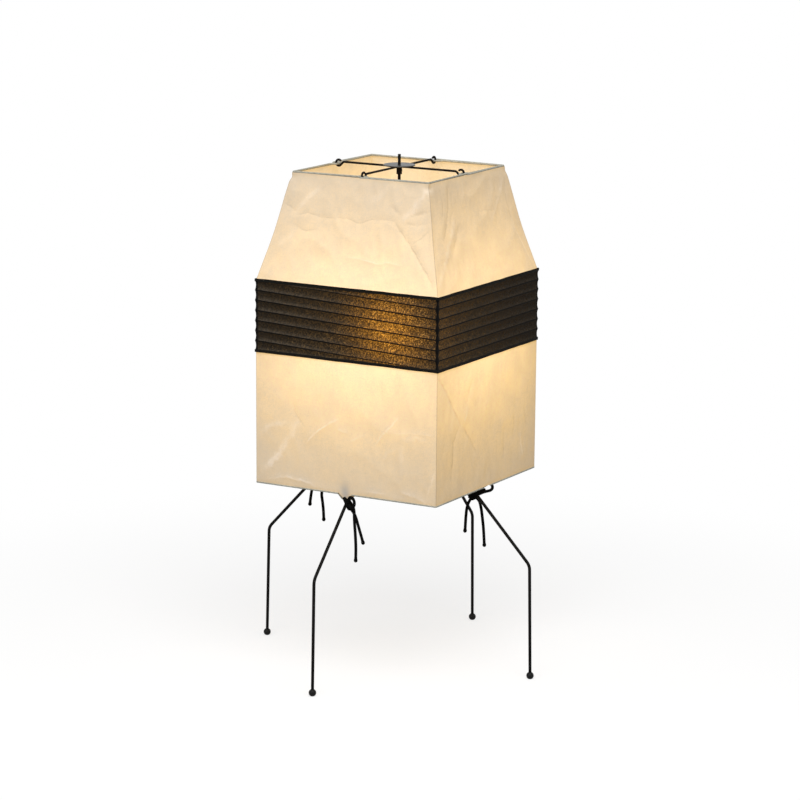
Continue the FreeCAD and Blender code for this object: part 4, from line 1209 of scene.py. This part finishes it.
def white_paper_finish(name, wide, tight, fold_light):
    material, tree, shader, place = new_finish(name, roughness=0.9, specular_ior_level=0.15,
                                               emission_strength=1.0)
    glow = grouped(tree, glow_group, place)
    paper = grouped(tree, paper_group, place)
    pale, dark = crease_marks(tree, paper)
    marks = {
        "fibre": paper["Fibre"], "pale": pale, "dark": dark,
        "tilt": number_kept(tree, "tilt"), "kink_shadow": number_kept(tree, "kink_shadow"),
        "hem": spread(tree, number_kept(tree, "from_rim"), 0.0, HEM_WIDTH, 1.0, 0.0, smooth=True),
        "fold": spread(tree, number_kept(tree, "from_corner"), FOLD_LINE / 3, FOLD_LINE, 1.0, 0.0,
                       smooth=True),
    }
    passed = times(tree, spread(tree, paper["Cloud"], *CLOUD_RANGE, *LIGHT_PASSED),
                   spread(tree, paper["Grain"], *NOISE_RANGE, *LIGHT_PASSED))
    passed = marked(tree, passed, marks, {**THROUGH, "fold": fold_light})
    light = blend_colours(tree, 1.0, scaled(tree, wide, glow["Wide"]),
                          scaled(tree, tight, glow["Tight"]), "ADD")
    plug(tree, shader["Emission Color"], scaled(tree, light, passed))
    # Pale creases are worn fibre and a painted highlight in the base colour; dark ones are a painted shade.
    worn_and_lit = blend_colours(tree, times(tree, pale, CREASE_WEAR_AND_HIGHLIGHT), PAPER_BASE, PAPER_CREASE)
    plug(tree, shader["Base Color"], scaled(tree, worn_and_lit, marked(tree, 1.0, marks, THROWN_BACK)))
    height = maths(tree, "ADD", paper["Grain"], times(tree, paper["Fibre"], 0.5))
    plug(tree, shader["Normal"], bump(tree, height, strength=0.25, distance=0.0002))
    return material


print("white paper passes and throws back light")

# %% [markdown]
# ## Laying the white paper
# The outside and the inside of a sheet differ, because the inside is lit straight by the bulb, so each
# shell gets both materials and is thickened between them. The upper sheet is held by the spreader above
# and by the stand below; it stays in place on neither body, and the lower sheet goes with the stand.

# %% Lay the white paper
PAPER_THICKNESS = 0.00035
paper_faces = (white_paper_finish("white_paper", PAPER_WIDE, PAPER_TIGHT, FOLD_OUTSIDE),
               white_paper_finish("white_paper_inside", INSIDE_WIDE, INSIDE_TIGHT, FOLD_INSIDE))
for part, shell in paper_shells.items():
    for finish in paper_faces:
        shell.data.materials.append(finish)
    give_thickness(shell, PAPER_THICKNESS, inside_material=True)
    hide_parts(*[f"{part}_panel_{side}" for side in SIDES])
    print(f"{shell.name}: {len(shell.data.polygons)} faces")
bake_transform(paper_shells["upper"])
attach(paper_shells["lower"], "stand")

# %% [markdown]
# ## Black paper
# The band is thin paper dyed black, with tiny pores where light comes through. Near the bulb the pores
# join into a golden glow, far away they are dark brown specks. The pores are also openings in the
# sheet, so that the bulb itself shows in the right place from every side. The rib and the corner wire
# show as black lines where the paper lies on them, with a painted shadow where they stop the bulb's
# light. The lower half of each pleat faces up and gets a painted light.

# %% Black paper
BLACK_BASE = (0.0110, 0.0096, 0.0078, 1.0)
BLACK_SPECK = (0.036, 0.029, 0.020, 1.0)
# The colour of the painted light on the lower, upward-facing half of each pleat.
BLACK_PLEAT_LIGHT = (0.058, 0.049, 0.038, 1.0)
BLACK_LINE = (0.0025, 0.0022, 0.002, 1.0)
BAND_GOLD = (0.265, 0.098, 0.001)
BAND_BROWN = (0.062, 0.033, 0.009)
# Grains to a metre, and the tones between which a grain becomes a pore or a glint.
PORE_SCALE = 1000.0
PORE_TONES = (0.30, 0.80)
GLINT_SCALE = 1250.0
GLINT_TONES = (0.60, 0.82)
# The light that the sheet passes, and what a pore and a glint add to it.
SHEET_PASSES = 0.32
PORE_PASSES = 0.7
GLINT_PASSES = 2.2
PORE_COLOUR = 0.4
# Where the black line of the rib begins and is full.
RIB_LINE = (0.84, 0.91)
# Painted light on the upward-facing lower half of a pleat: up to where on a pleat it lies, its least and
# most, and where along a side it thins, to how much.
PLEAT_LIGHT_RISE = (0.05, 0.50)
PLEAT_LIGHT_PATCHES = (0.4, 0.9)
PLEAT_LIGHT_ALONG = (0.02, 0.13)
PLEAT_LIGHT_THIN = 0.3
CORNER_WAVE = 0.0016
CORNER_LINE = (0.0017, 0.0030)
PORE_OPENS = 0.15


def grains_at(tree, vector, scale):
    """Grey grains, each of its own tone."""
    return add_node(tree, "TexVoronoi", {"Vector": vector, "Scale": scale}, voronoi_dimensions="2D")["Color"]


def black_paper_finish():
    material, tree, shader, place = new_finish("black_paper", roughness=0.85, specular_ior_level=0.08,
                                               emission_strength=1.0)
    sheet = add_node(tree, "UVMap", {}, uv_map=band.data.uv_layers.active.name)[0]
    glow = grouped(tree, glow_group, place)
    specks = grains_at(tree, sheet, PORE_SCALE)
    pores = spread(tree, specks, *PORE_TONES, 0.0, 1.0)
    glints = spread(tree, grains_at(tree, sheet, GLINT_SCALE), *GLINT_TONES, 0.0, 1.0)
    rib = number_kept(tree, "rib")
    wire = maths(tree, "MULTIPLY_ADD", maths(tree, "SUBTRACT", rib, 0.5), -CORNER_WAVE,
                 number_kept(tree, "from_corner"))
    line = maths(tree, "MAXIMUM", spread(tree, rib, *RIB_LINE, 0.0, 1.0, smooth=True),
                 spread(tree, wire, *CORNER_LINE, 1.0, 0.0, smooth=True))
    # Along the black lines no bulb light passes: a painted shadow of the rib and the corner wire.
    clear = maths(tree, "SUBTRACT", 1.0, line)
    # Painted light: the lower half of each pleat, which faces up, is drawn lighter, less so along the side.
    pleat_light = times(tree, spread(tree, number_kept(tree, "rise"), *PLEAT_LIGHT_RISE, 1.0, 0.0, smooth=True),
                 spread(tree, specks, *NOISE_RANGE, *PLEAT_LIGHT_PATCHES),
                 spread(tree, parted(tree, sheet)["X"], *PLEAT_LIGHT_ALONG, 1.0, PLEAT_LIGHT_THIN, smooth=True))
    colour = blend_colours(tree, times(tree, pores, PORE_COLOUR), BLACK_BASE, BLACK_SPECK)
    colour = blend_colours(tree, pleat_light, colour, BLACK_PLEAT_LIGHT)
    plug(tree, shader["Base Color"], blend_colours(tree, line, colour, BLACK_LINE))
    through = maths(tree, "MULTIPLY_ADD", glints, GLINT_PASSES, SHEET_PASSES)
    through = maths(tree, "MULTIPLY_ADD", pores, PORE_PASSES, through)
    light = blend_colours(tree, 1.0, scaled(tree, BAND_GOLD, glow["Spot"]),
                          scaled(tree, BAND_BROWN, glow["Around"]), "ADD")
    plug(tree, shader["Emission Color"], scaled(tree, light, times(tree, through, clear)))
    plug(tree, shader["Alpha"], maths(tree, "MULTIPLY_ADD", times(tree, glints, clear), -PORE_OPENS, 1.0))
    height = maths(tree, "ADD", specks, glints)
    plug(tree, shader["Normal"], bump(tree, height, strength=0.3, distance=0.0002))
    return material


band.data.materials.append(black_paper_finish())
print("black paper laid on the band")

# %% [markdown]
# ## Painted and plated metal
# Thin paint on wire is never even: it is a little rougher in places, and dust settles on it. One group
# gives slow changes, fine grain and specks, and every hard finish takes its roughness and tone from it,
# each in its own measure.

# %% Hard finishes
# Each pattern: how many to a metre and the noise's detail.
COAT_SLOW = (70.0, 3.0)
COAT_FINE = (1400.0, 2.0)
COAT_SPECKS = (2600.0, 1.0)
SPECKS_SHOW = (0.66, 0.76)
# How far the slow changes and the specks move the tone from dark to light.
SLOW_TONE = 0.7
SPECK_TONE = 0.5
tree, place, given = new_group("uneven_coat", ["Slow", "Fine", "Specks"])
plug(tree, given["Slow"], noise_at(tree, place, *COAT_SLOW))
plug(tree, given["Fine"], noise_at(tree, place, *COAT_FINE))
dots = noise_at(tree, place, *COAT_SPECKS)
plug(tree, given["Specks"], spread(tree, dots, *SPECKS_SHOW, 0.0, 1.0, smooth=True))
hard_group = tree


def hard_finish(name, dark, light, rough, metallic=0.0, specular=0.5, relief=0.1):
    material, tree, shader, place = new_finish(name, metallic=metallic, specular_ior_level=specular)
    coat = grouped(tree, hard_group, place)
    tone = maths(tree, "ADD", times(tree, coat["Slow"], SLOW_TONE), times(tree, coat["Specks"], SPECK_TONE))
    plug(tree, shader["Base Color"], blend_colours(tree, tone, (*dark, 1.0), (*light, 1.0)))
    plug(tree, shader["Roughness"], spread(tree, coat["Slow"], *NOISE_RANGE, *rough))
    plug(tree, shader["Normal"], bump(tree, coat["Fine"], strength=relief, distance=0.0001))
    return material


# Two tones, two roughnesses, and what is not usual.
HARD_FINISHES = {
    "black_wire": ((0.005, 0.0045, 0.004), (0.012, 0.011, 0.010), (0.5, 0.65), {"specular": 0.05}),
    "black_disc": ((0.010, 0.010, 0.010), (0.020, 0.020, 0.020), (0.30, 0.40), {}),
    "black_foot": ((0.005, 0.005, 0.005), (0.012, 0.012, 0.011), (0.30, 0.42), {"specular": 0.10}),
    "steel": ((0.50, 0.50, 0.51), (0.66, 0.66, 0.66), (0.22, 0.36), {"metallic": 1.0}),
    "black_plastic": ((0.014, 0.014, 0.014), (0.03, 0.03, 0.03), (0.40, 0.55), {}),
    "brass": ((0.68, 0.49, 0.20), (0.82, 0.64, 0.32), (0.20, 0.34), {"metallic": 1.0}),
    "porcelain": ((0.78, 0.76, 0.72), (0.86, 0.85, 0.82), (0.12, 0.22), {}),
    "bulb_cap": ((0.66, 0.66, 0.66), (0.82, 0.82, 0.82), (0.25, 0.38), {"metallic": 1.0}),
    "band_wire": ((0.004, 0.004, 0.003), (0.011, 0.010, 0.009), (0.7, 0.9),
                  {"specular": 0.08, "relief": 0.3}),
}
finishes = {}
for name, (dark, light, rough, unusual) in HARD_FINISHES.items():
    finishes[name] = hard_finish(name, dark, light, rough, **unusual)
print(len(finishes), "hard finishes")

# %% [markdown]
# ## Wrapped rims, bulb and cords
# The rim wires are wound with a strip of paper, which shows as a fine slanting line and as a grey edge,
# because the wire stops the light. The lit bulb is opal glass that glows evenly. The cord is dull black
# with a painted highlight on its bumps, read from the relief that its mesh keeps.

# %% Soft and lit finishes
RIM_DARK = (0.165, 0.158, 0.130, 1.0)
RIM_PALE = (0.42, 0.405, 0.335, 1.0)
# The winding: its scale and waver, where its line ends, how dark the line is, and the weight of clouds.
WINDING_SCALE = 90.0
WINDING_WAVER = 1.5
WINDING_LINE = 0.4
WINDING_DARK = 0.75
RIM_CLOUDS = 1.5
BULB_GLASS = (0.9, 0.86, 0.78, 1.0)
BULB_LIGHT = (1.0, 0.62, 0.22)
# How many clouds of milk to a metre, the noise's detail, and the light of the weakest.
MILK = (60.0, 2.0)
MILK_THIN = 0.94
CORD_DARK = (0.002, 0.002, 0.002, 1.0)
CORD_BUMP_HIGHLIGHT = (0.012, 0.0115, 0.011, 1.0)
# How many hairs to a metre, and the noise's detail.
FUZZ = (2200.0, 3.0)


def wrapped_rim_finish():
    material, tree, shader, place = new_finish("wrapped_rim", roughness=0.85)
    paper = grouped(tree, paper_group, place)
    sockets = {"Vector": place, "Scale": WINDING_SCALE, "Distortion": WINDING_WAVER}
    winding = add_node(tree, "TexWave", sockets, wave_type="BANDS", bands_direction="DIAGONAL")["Fac"]
    line = spread(tree, winding, 0.0, WINDING_LINE, WINDING_DARK, 1.0, smooth=True)
    tone = times(tree, line, paper["Cloud"], RIM_CLOUDS)
    plug(tree, shader["Base Color"], blend_colours(tree, tone, RIM_DARK, RIM_PALE))
    plug(tree, shader["Normal"], bump(tree, winding, strength=0.4, distance=0.0003))
    return material


def opal_finish():
    material, tree, shader, place = new_finish("opal_glass", roughness=0.25, base_color=BULB_GLASS,
                                               coat_weight=0.5, emission_strength=5.0)
    milk = spread(tree, noise_at(tree, place, *MILK), *NOISE_RANGE, MILK_THIN, 1.0)
    plug(tree, shader["Emission Color"], scaled(tree, BULB_LIGHT, milk))
    return material


def tie_cord_finish():
    material, tree, shader, place = new_finish("tie_cord", roughness=0.9, specular_ior_level=0.03)
    fuzz = noise_at(tree, place, *FUZZ)
    # The raised bumps of the braid are drawn lighter: a painted highlight.
    lit = times(tree, number_kept(tree, "relief"), fuzz)
    plug(tree, shader["Base Color"], blend_colours(tree, lit, CORD_DARK, CORD_BUMP_HIGHLIGHT))
    plug(tree, shader["Normal"], bump(tree, fuzz, strength=0.4, distance=0.0001))
    return material


finishes["wrapped_rim"] = wrapped_rim_finish()
finishes["opal_glass"] = opal_finish()
finishes["tie_cord"] = tie_cord_finish()
MADE_HERE = {"tie_cord": tie_pieces, "band_wire": bindings, "wrapped_rim": hem_strips,
             "black_wire": painted_wires}
for slot_name, pieces in MADE_HERE.items():
    for piece in pieces:
        piece.data.materials.clear()
        piece.data.materials.append(finishes[slot_name])
OWN_FINISH = {"spreader_disc": "black_disc"}
dressed = 0
for part in frame["record"]["subparts"]:
    node = frame["nodes"][part["node"]]
    finish = finishes.get(OWN_FINISH.get(part["node"], part["material_slot"]))
    if finish and node.visible_get():
        for slot in node.material_slots:
            slot.material = finish
        dressed += 1
print(f"{dressed} CAD pieces dressed")

# %% [markdown]
# ## Floor
# The photograph is a cut-out on pure white. A white floor would throw too much light back up, so the
# floor is dark grey to light rays and glows white to the eye and in reflections, which keeps a soft
# shadow. It turns wholly white a little way off.

# %% Floor
FLOOR_SIZE = 60.0
FLOOR_GREY = 0.30
FLOOR_FADE = (0.30, 0.80)


def seen_directly(tree):
    """1 for rays from the eye and for what is seen in gloss and glass, else 0."""
    path = add_node(tree, "LightPath", {})
    return maths(tree, "MAXIMUM", path["Is Camera Ray"],
                 maths(tree, "MAXIMUM", path["Is Glossy Ray"], path["Is Transmission Ray"]))


bpy.ops.object.select_all(action="DESELECT")
bpy.ops.mesh.primitive_plane_add(size=FLOOR_SIZE)
floor = bpy.context.object
floor.name = "floor"
floor_finish, tree, shader, place = new_finish("floor", roughness=1.0, specular_ior_level=0.0,
                                               emission_strength=1.0)
far_off = spread(tree, length_of(tree, place), *FLOOR_FADE, 0.0, 1.0, smooth=True)
grey = (FLOOR_GREY, FLOOR_GREY, FLOOR_GREY, 1.0)
plug(tree, shader["Base Color"], blend_colours(tree, far_off, grey, (0.0, 0.0, 0.0, 1.0)))
white = times(tree, spread(tree, far_off, 0.0, 1.0, 1.0 - FLOOR_GREY, 1.0), seen_directly(tree))
plug(tree, shader["Emission Color"], scaled(tree, (1.0, 1.0, 1.0), white))
floor.data.materials.append(floor_finish)
print("floor laid")

# %% [markdown]
# ## Sky and lamps
# The sky is white to the eye in the same way, and weak as a light. An even sky alone would look flat,
# so the light comes from one large soft box above, and two weaker ones in front and at the right.

# %% Sky and lamps
SKY_LIGHT = 0.37
LAMPS_AIM_AT = Vector((0.0, 0.0, 0.3))
# Where each soft box stands, how wide it is, and its watts.
SOFT_BOXES = {
    "above": ((0.75, -1.1, 2.3), 1.8, 48.0),
    "front": ((-0.3, -2.4, 0.9), 1.2, 16.0),
    "right": ((2.2, -0.6, 0.6), 1.0, 5.0),
}
world = bpy.data.worlds.new("studio")
world.use_nodes = True
bpy.context.scene.world = world
tree = world.node_tree
sky = tree.nodes["Background"].inputs
sky["Color"].default_value = (1.0, 1.0, 1.0, 1.0)
plug(tree, sky["Strength"], spread(tree, seen_directly(tree), 0.0, 1.0, SKY_LIGHT, 1.0))


def soft_box(name, location, size, watts):
    facing = (LAMPS_AIM_AT - Vector(location)).to_track_quat("-Z", "Y")
    bpy.ops.object.light_add(type="AREA", location=location, rotation=facing.to_euler())
    lamp = bpy.context.object
    lamp.name = name
    lamp.data.shape = "SQUARE"
    lamp.data.size = size
    lamp.data.energy = watts


for name, (location, size, watts) in SOFT_BOXES.items():
    soft_box(f"soft_box_{name}", location, size, watts)
bpy.context.scene.view_settings.view_transform = "Standard"
print(len(SOFT_BOXES), "soft boxes set up")
